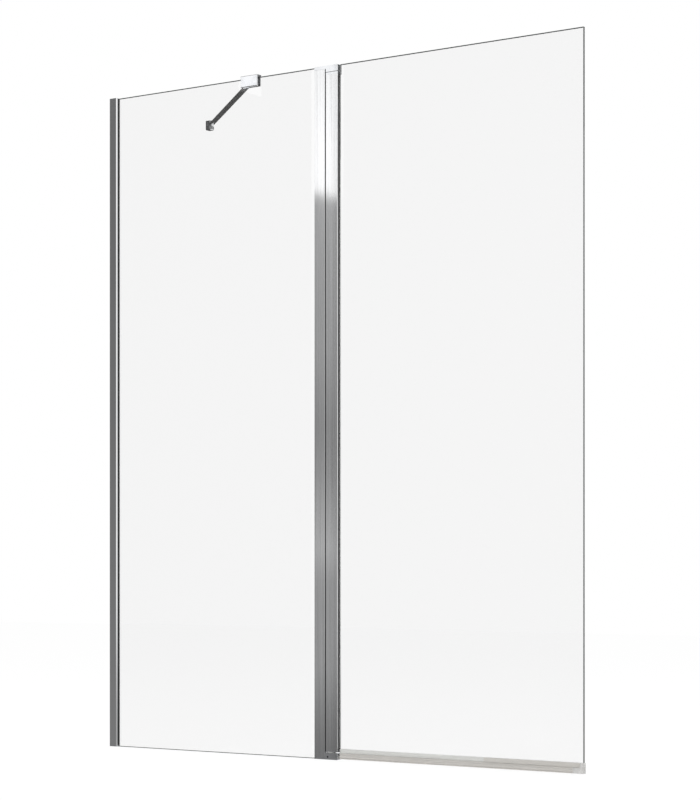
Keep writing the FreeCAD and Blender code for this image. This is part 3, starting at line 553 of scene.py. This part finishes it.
@dataclass(frozen=True)
class FloatGlass(Finish):
    """Toughened glass with ground edges, which read dark because one looks along the pane; that
    darkness is painted into the edges as a painted shade.
    """

    low: tuple[float, float, float] = (0, 0, 0)
    high: tuple[float, float, float] = (0, 0, 0)
    upright_arris: float = 0.3
    top_arris: float = 1.5
    bottom_arris: float = 1.2
    # Share of the painted edge shade that the upright edges get, so that they read a little lighter
    # than the level ones.
    upright_shade_share: float = 0.85
    edge_roughness: float = 0.35
    roller_wave: float = 260
    wave_depth: float = 0.004

    def lay(self, tree: Tree, surface: Node) -> None:
        """Lay the clear faces, the painted shade of the edges, dark and opaque, and the slow waves
        of the toughening rollers.

        Args:
            tree: the material's node tree.
            surface: the Principled BSDF.
        """
        # The edge mask blends the painted shade into the edges and makes them opaque.
        edge = self.edge_shade_mask(tree)
        self.vary_colour(tree, surface, edge)
        clear = add_node(tree, "ShaderNodeMath", {"operation": "SUBTRACT", 0: 1.0}, {1: edge})
        rough = add_node(
            tree, "ShaderNodeMath", {"operation": "MULTIPLY", 1: self.edge_roughness}, {0: edge}
        )
        tree.links.new(clear.outputs[0], surface.inputs["Transmission Weight"])
        tree.links.new(rough.outputs[0], surface.inputs["Roughness"])
        surface.inputs["IOR"].default_value = GLASS_IOR
        wave = self.roller_wave
        waves = self.grain(tree, (wave, wave, wave / 2), detail=0)
        self.raise_bump(tree, surface, waves, self.wave_depth)

    def edge_shade_mask(self, tree: Tree) -> Socket:
        """Find the pane's edges and the narrow arris beside them, which get the painted shade.

        Args:
            tree: the material's node tree.

        Returns:
            1 on the level edges, nearly 1 on the upright ones, whose painted shade is lighter, and
            0 on the faces.
        """
        place = add_node(tree, "ShaderNodeTexCoord").outputs["Object"]
        parts = add_node(tree, "ShaderNodeSeparateXYZ", links={"Vector": place})
        along, across, up = (parts.outputs[axis.value] for axis in Axis)
        right = self.compare(tree, "GREATER_THAN", along, self.high[0] - self.upright_arris)
        left = self.compare(tree, "LESS_THAN", along, self.low[0] + self.upright_arris)
        top = self.compare(tree, "GREATER_THAN", up, self.high[2] - self.top_arris)
        bottom = self.compare(tree, "LESS_THAN", up, self.low[2] + self.bottom_arris)
        depth = add_node(tree, "ShaderNodeMath", {"operation": "ABSOLUTE"}, {0: across}).outputs[0]
        inside = self.compare(tree, "LESS_THAN", depth, self.high[1] - NEAR)
        upright = larger(tree, larger(tree, left, right), inside)
        softened = add_node(
            tree, "ShaderNodeMath", {"operation": "MULTIPLY", 1: self.upright_shade_share}, {0: upright}
        )
        return larger(tree, larger(tree, top, bottom), softened.outputs[0])

    def compare(self, tree: Tree, operation: str, value: Socket, limit: float) -> Socket:
        """Compare a coordinate with a place on the pane.

        Args:
            tree: the material's node tree.
            operation: GREATER_THAN or LESS_THAN.
            value: the coordinate in metres.
            limit: the place in millimetres.

        Returns:
            1 where the comparison holds and 0 elsewhere.
        """
        test = add_node(tree, "ShaderNodeMath", {"operation": operation, 1: limit * MM}, {0: value})
        return test.outputs[0]


@dataclass(frozen=True)
class SoftVinyl(Finish):
    """Clear soft PVC: translucent, a little milky, with faint lines along its extrusion."""

    transmission: float = 0.5
    roughness: tuple[float, float] = (0.22, 0.38)
    pitch: tuple[float, float, float] = (160, 1.6, 1.6)
    depth: float = 0.02
    cloud: float = 140

    def lay(self, tree: Tree, surface: Node) -> None:
        """Lay the milky body, the extrusion lines and the uneven gloss.

        Args:
            tree: the material's node tree.
            surface: the Principled BSDF.
        """
        surface.inputs["Transmission Weight"].default_value = self.transmission
        surface.inputs["IOR"].default_value = PVC_IOR
        lines = self.grain(tree, self.pitch)
        clouds = self.grain(tree, (self.cloud, self.cloud / 4, self.cloud / 4), detail=3)
        self.vary_colour(tree, surface, clouds)
        self.vary_roughness(tree, surface, lines, self.roughness)
        self.raise_bump(tree, surface, lines, self.depth)


@dataclass(frozen=True)
class LippedVinyl(SoftVinyl):
    """Soft PVC drawn in one with glass-clear lips, which start at a height."""

    lip_colour: str = "#F8F8F6"
    lip_from: float = 14.4
    lip_full: float = 15.4
    lip_transmission: float = 0.96

    def lay(self, tree: Tree, surface: Node) -> None:
        """Lay the milky body and let it turn clear in the lips.

        Args:
            tree: the material's node tree.
            surface: the Principled BSDF.
        """
        super().lay(tree, surface)
        place = add_node(tree, "ShaderNodeTexCoord").outputs["Object"]
        up = add_node(tree, "ShaderNodeSeparateXYZ", links={"Vector": place}).outputs["Z"]
        heights = {"From Min": self.lip_from * MM, "From Max": self.lip_full * MM}
        share = add_node(tree, "ShaderNodeMapRange", heights, {"Value": up}).outputs["Result"]
        clear = add_node(
            tree,
            "ShaderNodeMapRange",
            {**heights, "To Min": self.transmission, "To Max": self.lip_transmission},
            {"Value": up},
        )
        tree.links.new(clear.outputs["Result"], surface.inputs["Transmission Weight"])
        body = surface.inputs["Base Color"].links[0].from_socket
        blend = add_node(
            tree,
            "ShaderNodeMix",
            {"data_type": "RGBA", MIX_SECOND: linear(self.lip_colour)},
            {0: share, MIX_FIRST: body},
        )
        tree.links.new(blend.outputs[MIX_RESULT], surface.inputs["Base Color"])


@dataclass(frozen=True)
class MouldedPlastic(Finish):
    """Opaque plastic or rubber with the fine texture of its mould or die."""

    roughness: tuple[float, float] = (0.4, 0.55)
    texture: tuple[float, float, float] = (0.8, 0.8, 0.8)
    depth: float = 0.01
    cloud: float = 25

    def lay(self, tree: Tree, surface: Node) -> None:
        """Lay the texture and the slow change of colour.

        Args:
            tree: the material's node tree.
            surface: the Principled BSDF.
        """
        surface.inputs["IOR"].default_value = PLASTIC_IOR
        texture = self.grain(tree, self.texture)
        clouds = self.grain(tree, (self.cloud,) * 3, detail=3)
        self.vary_colour(tree, surface, clouds)
        self.vary_roughness(tree, surface, texture, self.roughness)
        self.raise_bump(tree, surface, texture, self.depth)


# Extruded aluminium, buffed and bright anodised: a silver mirror softened by upright die lines.
# The real lines are 0.1 mm apart; 2.4 mm is the finest that shows here.
ALUMINIUM = DrawnMetal("bright_anodised_aluminium", "#F2F2F3", "#EAEBEC")
# The same metal drawn as a square bar: its lines run along the arm.
ARM_ALUMINIUM = DrawnMetal(
    "bright_anodised_bar",
    "#E4E4E3",
    "#D6D6D4",
    run=Run.ALONG_ARM,
    line_length=120,
    cloud=40,
    turn=138.9,
)
# Zinc casting, polished and chromium plated: the clearest mirror here, cool, with faint waves.
CHROME = PlatedMetal("chromium_plated_zinc", "#EFF0F2", "#E2E4E7")
# Turned A2 stainless steel: duller and warmer than chrome, with fine tool marks.
STEEL = DrawnMetal(
    "turned_stainless_steel",
    "#C9C6C1",
    "#B4B1AC",
    run=Run.NONE,
    roughness=(0.2, 0.34),
    line_pitch=0.6,
    line_depth=0.002,
    cloud=6,
)
# Black oxide steel of the grub screw in the bottom block: dark, with a dull shine.
BLACK_STEEL = DrawnMetal(
    "black_oxide_steel",
    "#3C3C3E",
    "#2E2E30",
    run=Run.NONE,
    roughness=(0.3, 0.45),
    line_pitch=0.6,
    line_depth=0.002,
    cloud=4,
)
# Soft PVC of the seal under the door: a warm milky body, drawn in one with clear lips.
SEAL_VINYL = LippedVinyl("clear_soft_pvc", "#F6F3EE", "#F0ECE6", transmission=0.3, depth=0.004)
# Clear PVC wedge behind the glass: lets the bright metal around it show.
WEDGE_VINYL = SoftVinyl(
    "clear_wedge_pvc",
    "#EDEEEC",
    "#E2E4E2",
    transmission=0.7,
    roughness=(0.12, 0.26),
    pitch=(1.2, 1.2, 90),
    depth=0.008,
    cloud=60,
)
# Harder PVC of the seal's end piece: paler than the seal, moulded and so without lines.
END_VINYL = SoftVinyl(
    "moulded_clear_pvc",
    "#FCFBF9",
    "#F7F6F3",
    transmission=0.25,
    roughness=(0.2, 0.3),
    depth=0.002,
    pitch=(5, 5, 5),
    cloud=12,
)
# Rigid PVC strip: less clear than the seal and smoother.
STRIP_VINYL = SoftVinyl(
    "rigid_pvc_strip", "#F0EDE7", "#E8E4DE", transmission=0.15, roughness=(0.25, 0.36), depth=0.003
)
# Soft PVC of the clamp's pads: greyish, and it lets light through between metal and glass.
PAD_VINYL = SoftVinyl(
    "clear_pvc_pad", "#B4B8B8", "#A6AAAA", transmission=0.6, pitch=(3, 3, 3), cloud=12
)
# Extruded EPDM: near black and matt, with faint upright lines.
GASKET_RUBBER = MouldedPlastic(
    "extruded_epdm", "#18191A", "#121314", roughness=(0.5, 0.66), texture=(0.6, 0.6, 60)
)
# Acetal of bushes, washer and packers: white, waxy and smooth.
ACETAL = MouldedPlastic(
    "moulded_acetal",
    "#E9E8E4",
    "#DFDED9",
    roughness=(0.28, 0.4),
    texture=(1.5, 1.5, 1.5),
    depth=0.006,
)
# Float glass: hardly tinted through its faces. Its edges are painted grey green: partly the glass's
# own tint, partly painted shade, as dark as the edges read when one looks along the pane.
PANE_TINT = "#FAFAFA"
EDGE_TINT_AND_SHADE = "#454B49"


def coat(finish: Finish, *nodes: str) -> None:
    """Give CAD nodes that stay a finish.

    Args:
        finish: the finish they get.
        nodes: the CAD nodes' names.
    """
    for node in nodes:
        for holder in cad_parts[node].material_slots:
            holder.material = finish.material()
        LOG.info("node %s in %s", node, finish.name)


def coat_pane(node: str) -> None:
    """Give a pane its glass, whose edge mask needs the pane's corners, and no hard shadow.

    Args:
        node: the pane's CAD node.
    """
    low, high = box_of(node)
    coat(FloatGlass(f"float_glass_{node}", PANE_TINT, EDGE_TINT_AND_SHADE, tuple(low), tuple(high)), node)
    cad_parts[node].visible_shadow = False


# --------------------------------------------------------------------------- soft strips


@dataclass
class LipGasket:
    """Gasket between a profile and one face of the glass, with a soft lip at the profile's edge."""

    node: str
    body: str
    lip: float
    towards: int
    bead: float = 0.35
    rounding: float = 0.25

    def build(self) -> None:
        """Model the strip from a block: groove its hidden face, taper its lip and round it."""
        low, high = box_of(self.node)
        front = low.y < 0
        glass_y, wall_y = (high.y, low.y) if front else (low.y, high.y)
        outward = -1 if front else 1
        if self.towards > 0:
            root, start = low.x, high.x - self.lip
        else:
            root, start = high.x, low.x + self.lip
        piece = Workpiece.block(
            f"{self.node}_strip",
            Vector((min(root, start), low.y, low.z)),
            Vector((max(root, start), high.y, high.z)),
        )
        step = (start - root) / 4
        piece.slice(Axis.X, root + step, root + step * 2, root + step * 3)
        piece.points(lambda p: abs(p.x - (root + step * 2)) < NEAR and abs(p.y - wall_y) < NEAR)
        piece.shift(y=-outward * self.bead)
        piece.faces(lambda c, n: n.x * self.towards > FACING)
        piece.pull(x=self.towards * self.lip)
        tip = start + self.towards * self.lip
        piece.points(lambda p: abs(p.x - tip) < NEAR and abs(p.y - wall_y) < NEAR)
        piece.shift(y=-outward * (abs(wall_y - glass_y) - self.bead))
        piece.soften(self.rounding)
        if front:
            piece.finish(self.body, "dark_gasket", GASKET_RUBBER, self.node)
        else:
            piece.finish(self.body, "clear_seal", WEDGE_VINYL, self.node)


@dataclass
class HingeSeal:
    """Soft bulb in the groove of the fixed profile that closes the gap beside the door."""

    node: str = "hinge_seal"
    root_width: float = 3
    groove: float = 2.5
    waist: float = 0.5
    round_share: float = 0.8
    round_facets: int = 4

    def build(self) -> None:
        """Model the root and the bulb from one block."""
        low, high = box_of(self.node)
        mouth = low.x + self.groove
        half = self.root_width / 2
        piece = Workpiece.block(
            "hinge_seal_bulb", Vector((low.x, -half, low.z)), Vector((mouth, half, high.z))
        )
        piece.faces(lambda c, n: n.x > FACING)
        piece.pull(x=self.waist / 2)
        reach = high.y - half
        for sign in (-1, 1):
            piece.faces(lambda c, n: n.y * sign > FACING and c.x > mouth)
            piece.pull(y=sign * reach)
        top = mouth + self.waist / 2
        piece.faces(lambda c, n: n.x > FACING and c.x > top - NEAR)
        piece.pull(x=high.x - top)
        for sign in (-1, 1):
            piece.edges(
                lambda a, b: min(a.x, b.x) > high.x - NEAR
                and min(a.y * sign, b.y * sign) > half + NEAR
                and abs(a.z - b.z) > NEAR
            )
            piece.bevel((high.x - top) * self.round_share, self.round_facets)
        piece.finish("fixed_panel", "dark_gasket", GASKET_RUBBER, self.node)


@dataclass
class BottomSeal:
    """Clip-on seal under the door: two legs grip the glass and two fins wipe the bath's rim."""

    leg: float = 1.6
    shoulder: float = 1
    bridge: float = 5
    wiper: float = 1
    wiper_setback: float = 1.2
    body_top: float = 14
    end_length: float = 23
    rounding: float = 0.3
    bead: float = 0.5
    fin_splay: float = 0.8
    fin_start_splay: float = 0.15
    end_bevel: float = 0.9
    end_bevel_facets: int = 3
    end_rounding: float = 0.35
    strip_inset: float = 1.4
    strip_channel: float = 0.3
    strip_rounding: float = 0.2

    def build(self) -> None:
        """Build the seal, its end piece and its strip."""
        self.low, self.high = box_of("bottom_seal")
        self.glass_low, self.glass_high = box_of("door_glass")
        self.build_clip()
        self.build_end_piece()
        self.build_strip()

    def build_clip(self) -> None:
        """Extrude the legs up and the fins down from a bridge block."""
        low, high = self.low, self.high
        glass = self.glass_high.y
        seat = self.glass_low.z
        outer = high.y
        leg = glass + self.leg
        piece = Workpiece.block(
            "bottom_seal_clip", Vector((low.x, -outer, self.bridge)), Vector((high.x, outer, seat))
        )
        fin = outer - self.wiper_setback
        piece.slice(Axis.Y, -fin, -(fin - self.wiper), -glass, glass, fin - self.wiper, fin)
        piece.faces(lambda c, n: n.z > FACING and abs(c.y) > glass)
        piece.pull(z=self.body_top - seat)
        piece.slice(Axis.Y, -leg, leg)
        piece.faces(lambda c, n: n.z > FACING and c.z > self.body_top - NEAR and abs(c.y) < leg)
        piece.pull(z=self.shoulder)
        piece.faces(lambda c, n: n.z > FACING and c.z > self.body_top + NEAR)
        tip = high.z - self.bead * 2
        piece.pull(z=tip - self.body_top - self.shoulder)
        for sign in (-1, 1):
            piece.points(lambda p: p.y * sign > outer - NEAR and abs(p.z - self.body_top) < NEAR)
            piece.shift(z=-self.shoulder)
        piece.faces(lambda c, n: n.z > FACING and c.z > tip - NEAR)
        piece.pull(z=high.z - tip)
        piece.faces(
            lambda c, n: n.z < -FACING
            and fin - self.wiper < abs(c.y) < fin
            and c.z < self.bridge + NEAR
        )
        reach = (self.bridge - low.z) / 2
        piece.pull(z=-reach)
        piece.pull(z=-reach)
        for sign in (-1, 1):
            piece.points(lambda p: p.z < low.z + NEAR and p.y * sign > 0)
            piece.shift(y=sign * self.wiper_setback * self.fin_splay)
            piece.points(lambda p: abs(p.z - low.z - reach) < NEAR and p.y * sign > 0)
            piece.shift(y=sign * self.wiper_setback * self.fin_start_splay)
        self.cut_room_for_end_piece(piece)
        piece.soften(self.rounding)
        piece.finish("door", "clear_seal", SEAL_VINYL, "bottom_seal")

    def cut_room_for_end_piece(self, piece: Workpiece) -> None:
        """Take the seal's lower part away where the end piece sits.

        Args:
            piece: the seal on the bench.
        """
        left = self.glass_high.x - self.end_length
        piece.slice(Axis.X, left)
        piece.slice(Axis.Z, self.body_top)
        piece.faces(lambda c, n: c.x > left + NEAR and c.z < self.body_top - NEAR)
        piece.remove_faces()
        piece.edges(
            lambda a, b: abs(a.x - left) < NEAR
            and abs(b.x - left) < NEAR
            and max(a.z, b.z) < self.body_top + NEAR
        )
        piece.fill_holes()
        piece.edges(
            lambda a, b: min(a.x, b.x) > left - NEAR
            and abs(a.z - self.body_top) < NEAR
            and abs(b.z - self.body_top) < NEAR
        )
        piece.fill_holes()

    def build_end_piece(self) -> None:
        """Model the moulded end piece around the glass's corner."""
        low, high = box_of("seal_end_piece")
        glass = self.glass_high.y
        edge = self.glass_high.x
        step = self.high.x
        piece = Workpiece.block("seal_end_block", low, Vector((high.x, high.y, self.glass_low.z)))
        piece.slice(Axis.X, step, edge)
        piece.slice(Axis.Y, -glass, glass)
        piece.faces(lambda c, n: n.z > FACING and (abs(c.y) > glass or c.x > edge))
        piece.pull(z=self.body_top - self.glass_low.z)
        piece.faces(
            lambda c, n: n.z > FACING
            and c.z > self.body_top - NEAR
            and c.x > step
            and (abs(c.y) > glass or c.x > edge)
        )
        piece.pull(z=high.z - self.body_top)
        piece.edges(
            lambda a, b: min(a.x, b.x) > high.x - NEAR
            and abs(abs(a.y) - high.y) < NEAR
            and abs(a.y - b.y) < NEAR
        )
        piece.bevel(self.end_bevel, self.end_bevel_facets)
        piece.soften(self.end_rounding)
        piece.finish("door", "clear_seal", END_VINYL, "seal_end_piece")

    def build_strip(self) -> None:
        """Model the strip on the seal's leg: a flat bar with a shallow channel in its face."""
        low, high = box_of("seal_cover_strip")
        piece = Workpiece.block("seal_strip_bar", low, high)
        piece.faces(lambda c, n: n.y < -FACING)
        piece.inset(self.strip_inset, -self.strip_channel)
        piece.soften(self.strip_rounding)
        piece.finish("door", "strip_plastic", STRIP_VINYL, "seal_cover_strip")


# --------------------------------------------------------------------------- sub-assemblies


@dataclass
class FixedPanel:
    """Wall profile, fixed pane, fixed half of the hinge and the pivot blocks."""

    body: str = "fixed_panel"
    wall_lip: float = 3.2
    hinge_lip: float = 0.7

    def build(self) -> None:
        """Model the soft strips and dress the rest."""
        for side in ("front", "back"):
            LipGasket(f"wall_gasket_{side}", self.body, self.wall_lip, 1).build()
            LipGasket(f"fixed_hinge_gasket_{side}", self.body, self.hinge_lip, -1).build()
        HingeSeal().build()
        coat(ALUMINIUM, "wall_profile", "glass_profile", "fixed_hinge_profile")
        coat(CHROME, "fixed_hinge_top_cap", "fixed_hinge_bottom_cap")
        coat(CHROME, "top_pivot_block", "bottom_pivot_block")
        coat(CHROME, "screw_covers", "wall_top_cap", "wall_bottom_cap")
        coat(STEEL, "adjusting_screws", "top_block_screw", "bottom_block_screw")
        coat(STEEL, "top_pivot_pin", "bottom_pivot_pin")
        coat(BLACK_STEEL, "pin_retaining_screw")
        coat(ACETAL, "glass_packers", "thrust_washer")
        coat_pane("fixed_glass")


@dataclass
class Door:
    """Door pane, door half of the hinge and the seal under the door."""

    body: str = "door"
    hinge_lip: float = 0.7

    def build(self) -> None:
        """Model the gaskets and the seal and dress the rest."""
        for side in ("front", "back"):
            LipGasket(f"door_gasket_{side}", self.body, self.hinge_lip, 1).build()
        BottomSeal().build()
        coat(ALUMINIUM, "door_hinge_profile")
        coat(CHROME, "door_top_cap", "door_bottom_cap")
        coat(ACETAL, "top_bush", "bottom_bush")
        coat_pane("door_glass")


@dataclass
class ClampPads:
    """Soft pads in the clamp's jaws."""

    groove_depth: float = 0.25
    groove_inset: float = 1.2
    rounding: float = 0.2

    def build(self) -> None:
        """Model each pad with a grooved face against the metal."""
        for side, outward in (("front", -1), ("back", 1)):
            low, high = box_of(f"clamp_pad_{side}")
            piece = Workpiece.block(f"clamp_pad_{side}_sheet", low, high)
            piece.faces(lambda c, n: n.y * outward > FACING)
            piece.inset(self.groove_inset, -self.groove_depth)
            piece.soften(self.rounding)
            piece.finish("fixed_panel", "clear_pad", PAD_VINYL, f"clamp_pad_{side}")


class Stabiliser:
    """Clamp, arm, wall bracket and their pins."""

    def build(self) -> None:
        """Model the pads and dress the rest."""
        ClampPads().build()
        coat(CHROME, "clamp_body", "arm_pivot_pin", "wall_bracket")
        coat(STEEL, "clamp_screws", "wall_bracket_pin")
        coat(ARM_ALUMINIUM, "stabiliser_arm")


# --------------------------------------------------------------------------- studio


@dataclass
class GreyCard:
    """A grey card that only polished surfaces see, as flags in a studio do. Lengths are in metres.

    It stands upright over a line of the plan. Its levels pair heights with greys, foot to top.
    """

    name: str
    start: tuple[float, float]
    end: tuple[float, float]
    levels: list[tuple[float, float]]
    strength: float = 1
    end_top: float | None = None
    through_glass: bool = False

    def build(self) -> None:
        """Stand the card up and give it its levels of grey from its foot to its top."""
        low, high = self.levels[0][0], self.levels[-1][0]
        end_top = high if self.end_top is None else self.end_top
        corners = ((*self.start, low), (*self.end, low), (*self.start, high), (*self.end, end_top))
        bpy.ops.object.select_all(action="DESELECT")
        bpy.ops.mesh.primitive_plane_add(size=1)
        card = bpy.context.object
        card.name = self.name
        for corner, place in zip(card.data.vertices, corners):
            corner.co = place
        paint = bpy.data.materials.new(self.name)
        paint.use_nodes = True
        tree = paint.node_tree
        tree.nodes.clear()
        place = add_node(tree, "ShaderNodeTexCoord").outputs["Object"]
        parts = add_node(tree, "ShaderNodeSeparateXYZ", links={"Vector": place})
        share = add_node(
            tree,
            "ShaderNodeMapRange",
            {"From Min": low, "From Max": high},
            {"Value": parts.outputs["Z"]},
        )
        ramp = add_node(tree, "ShaderNodeValToRGB", links={"Fac": share.outputs["Result"]})
        stops = ramp.color_ramp.elements
        for height, _ in self.levels[1:-1]:
            stops.new((height - low) / (high - low))
        for stop, (_, level) in zip(stops, self.levels):
            shade = level / self.strength
            stop.color = (shade, shade, shade, 1)
        glow = add_node(
            tree,
            "ShaderNodeEmission",
            {"Strength": self.strength},
            {"Color": ramp.outputs["Color"]},
        )
        add_node(tree, "ShaderNodeOutputMaterial", links={"Surface": glow.outputs["Emission"]})
        card.data.materials.append(paint)
        card.visible_camera = False
        card.visible_diffuse = False
        card.visible_transmission = self.through_glass
        card.visible_shadow = False


@dataclass
class Studio:
    """White set with a pale floor, soft lamps, grey cards and the camera."""

    camera_place: tuple[float, float, float] = (3.4770, -3.9758, 0.4253)
    camera_turn: float = 35.1661
    lens: float = 101.759
    rise: float = 0.20346
    floor_size: float = 16
    floor_drop: float = 0.0015
    floor_glow: float = 0.88
    floor_strength: float = 1.05
    floor_colour: str = "#F4F4F4"
    world_light: float = 0.6
    lamp_size: float = 2.4
    key_place: tuple[float, float, float] = (-1.6, -2.6, 3.4)
    key_power: float = 60
    fill_place: tuple[float, float, float] = (3.2, 2.2, 3.2)
    fill_power: float = 35
    lamp_aim: tuple[float, float, float] = (0.6, 0, 0.7)

    def build(self) -> None:
        """Build the whole set."""
        self.build_world()
        self.build_floor()
        self.build_lamps()
        self.build_cards()
        self.build_camera()
        bpy.context.scene.view_settings.view_transform = "Standard"

    def seen_directly(self, tree: Tree) -> Socket:
        """Tell rays that show the background from rays that only light the object.

        Args:
            tree: the node tree of the world or the floor.

        Returns:
            1 for camera, glossy and transmission rays, and 0 for others.
        """
        path = add_node(tree, "ShaderNodeLightPath")
        near = larger(tree, path.outputs["Is Camera Ray"], path.outputs["Is Glossy Ray"])
        return larger(tree, near, path.outputs["Is Transmission Ray"])

    def build_world(self) -> None:
        """Make a white surround that shows at full level and lights at a plain one."""
        world = bpy.data.worlds.new("white_studio")
        bpy.context.scene.world = world
        world.use_nodes = True
        tree = world.node_tree
        tree.nodes.clear()
        level = add_node(
            tree,
            "ShaderNodeMapRange",
            {"To Min": self.world_light, "To Max": 1.0},
            {"Value": self.seen_directly(tree)},
        )
        glow = add_node(
            tree,
            "ShaderNodeBackground",
            {"Color": linear(WHITE)},
            {"Strength": level.outputs["Result"]},
        )
        add_node(tree, "ShaderNodeOutputWorld", links={"Surface": glow.outputs["Background"]})

    def build_floor(self) -> None:
        """Lay a pale floor that reads white and keeps the object's shadow."""
        bpy.ops.object.select_all(action="DESELECT")
        bpy.ops.mesh.primitive_plane_add(size=self.floor_size, location=(0, 0, -self.floor_drop))
        floor = bpy.context.object
        floor.name = "floor"
        paint = bpy.data.materials.new("pale_floor")
        paint.use_nodes = True
        tree = paint.node_tree
        tree.nodes.clear()
        matt = add_node(tree, "ShaderNodeBsdfDiffuse", {"Color": linear(self.floor_colour)})
        glow = add_node(
            tree,
            "ShaderNodeEmission",
            {"Color": linear(WHITE), "Strength": self.floor_strength},
        )
        share = add_node(
            tree,
            "ShaderNodeMath",
            {"operation": "MULTIPLY", 1: self.floor_glow},
            {0: self.seen_directly(tree)},
        )
        both = add_node(
            tree,
            "ShaderNodeMixShader",
            links={0: share.outputs[0], 1: matt.outputs["BSDF"], 2: glow.outputs["Emission"]},
        )
        add_node(tree, "ShaderNodeOutputMaterial", links={"Surface": both.outputs["Shader"]})
        floor.data.materials.append(paint)
        floor.visible_glossy = False

    def build_lamps(self) -> None:
        """Hang two soft lamps over the set."""
        for name, place, power in (
            ("key_softbox", self.key_place, self.key_power),
            ("fill_softbox", self.fill_place, self.fill_power),
        ):
            lamp = bpy.data.lights.new(name, "AREA")
            lamp.size = self.lamp_size
            lamp.energy = power
            holder = bpy.data.objects.new(name, lamp)
            # The pane's second face would show the lamp otherwise.
            holder.visible_transmission = False
            bpy.context.scene.collection.objects.link(holder)
            holder.location = place
            sight = Vector(self.lamp_aim) - Vector(place)
            holder.rotation_euler = sight.to_track_quat("-Z", "Y").to_euler()

    def build_cards(self) -> None:
        """Stand the grey cards where the polished faces look."""
        pane, wall, bath, far, end = -0.006, -0.003, 0.03, 2, 2.6
        cards = (
            # Before the wall: black for the panes, greys for the fronts of the metal.
            GreyCard(
                "pane_card", (pane, -2.6), (pane, -0.02), [(-0.7, 0.0), (2.7, 0.0)], end_top=2.0
            ),
            GreyCard(
                "hinge_card",
                (wall, -0.94),
                (wall, -0.795),
                [
                    (-0.6, 0.18), (-0.06, 0.212), (0.0, 0.25), (0.15, 0.37), (0.38, 0.385),
                    (0.46, 0.5), (0.66, 0.345), (0.78, 0.31), (1.0, 0.405), (1.385, 0.47),
                    (1.4, 1.3), (1.5, 1.28), (1.61, 1.19), (1.72, 1.1), (2.0, 1.02),
                ],
                strength=1.4,
            ),
            GreyCard(
                "clamp_card",
                (wall, -0.58),
                (wall, -0.487),
                [(1.605, 1.16), (1.69, 1.16)],
                strength=1.2,
            ),
            GreyCard(
                "wall_card",
                (wall, -0.035),
                (wall, 0.02),
                [(-0.6, 0.23), (0.0, 0.21), (0.5, 0.185), (1.8, 0.14)],
            ),
            GreyCard("bath_side_card", (wall, 0.02), (wall, 0.9), [(-0.6, 0.05), (1.8, 0.05)]),
            # Across the bath: for the sides of the hinge, the clamp and the arm.
            GreyCard(
                "far_low_card",
                (1.75, far),
                (2.8, far),
                [(-0.7, 0.34), (-0.1, 0.32), (0.02, 0.34), (0.12, 1.0)],
            ),
            GreyCard(
                "far_top_card",
                (1.7, far),
                (2.8, far),
                [(1.93, 1.0), (1.96, 0.2), (2.5, 0.16)],
                through_glass=True,
            ),
            GreyCard(
                "far_left_card", (-1.5, far), (1.7, far), [(1.6, 1.0), (1.75, 0.24), (2.5, 0.22)]
            ),
            # In the room: for the nose of the wall profile and the bevels of the hinge.
            GreyCard(
                "nose_card",
                (1.35, -1.3),
                (1.7, -1.3),
                [
                    (-0.6, 0.36), (-0.11, 0.4), (0.0, 0.48), (0.3, 0.94), (1.3, 0.96),
                    (1.9, 1.04), (2.2, 1.04),
                ],
                strength=1.2,
            ),
            GreyCard(
                "bevel_card",
                (2.05, -1.2),
                (2.5, -1.2),
                [(-0.6, 0.24), (0.02, 0.27), (0.3, 0.66), (1.8, 0.72), (1.9, 1.0), (2.2, 1.0)],
            ),
            # Over the bath: for the wall bracket.
            GreyCard("bracket_card", (bath, bath), (end, bath), [(1.3, 0.24), (2.3, 0.2)]),
            GreyCard("bracket_end_card", (end, bath), (end, far), [(1.5, 0.34), (2.6, 0.3)]),
        )
        for card in cards:
            card.build()

    def build_camera(self) -> None:
        """Stand the camera where the photograph was taken from."""
        lens = bpy.data.cameras.new("camera")
        lens.lens = self.lens
        lens.sensor_fit = "AUTO"
        lens.shift_y = self.rise
        holder = bpy.data.objects.new("camera", lens)
        bpy.context.scene.collection.objects.link(holder)
        holder.location = self.camera_place
        holder.rotation_euler = (math.pi / 2, 0, math.radians(self.camera_turn))
        bpy.context.scene.camera = holder


def main() -> None:
    """Build every sub-assembly in order, then the studio, and log each one as it is built."""
    logging.basicConfig(level=logging.INFO, format="%(name)s: %(message)s")
    for part in (FixedPanel(), Door(), Stabiliser(), Studio()):
        part.build()
        LOG.info("%s built", type(part).__name__)


if __name__ == "__main__":
    main()
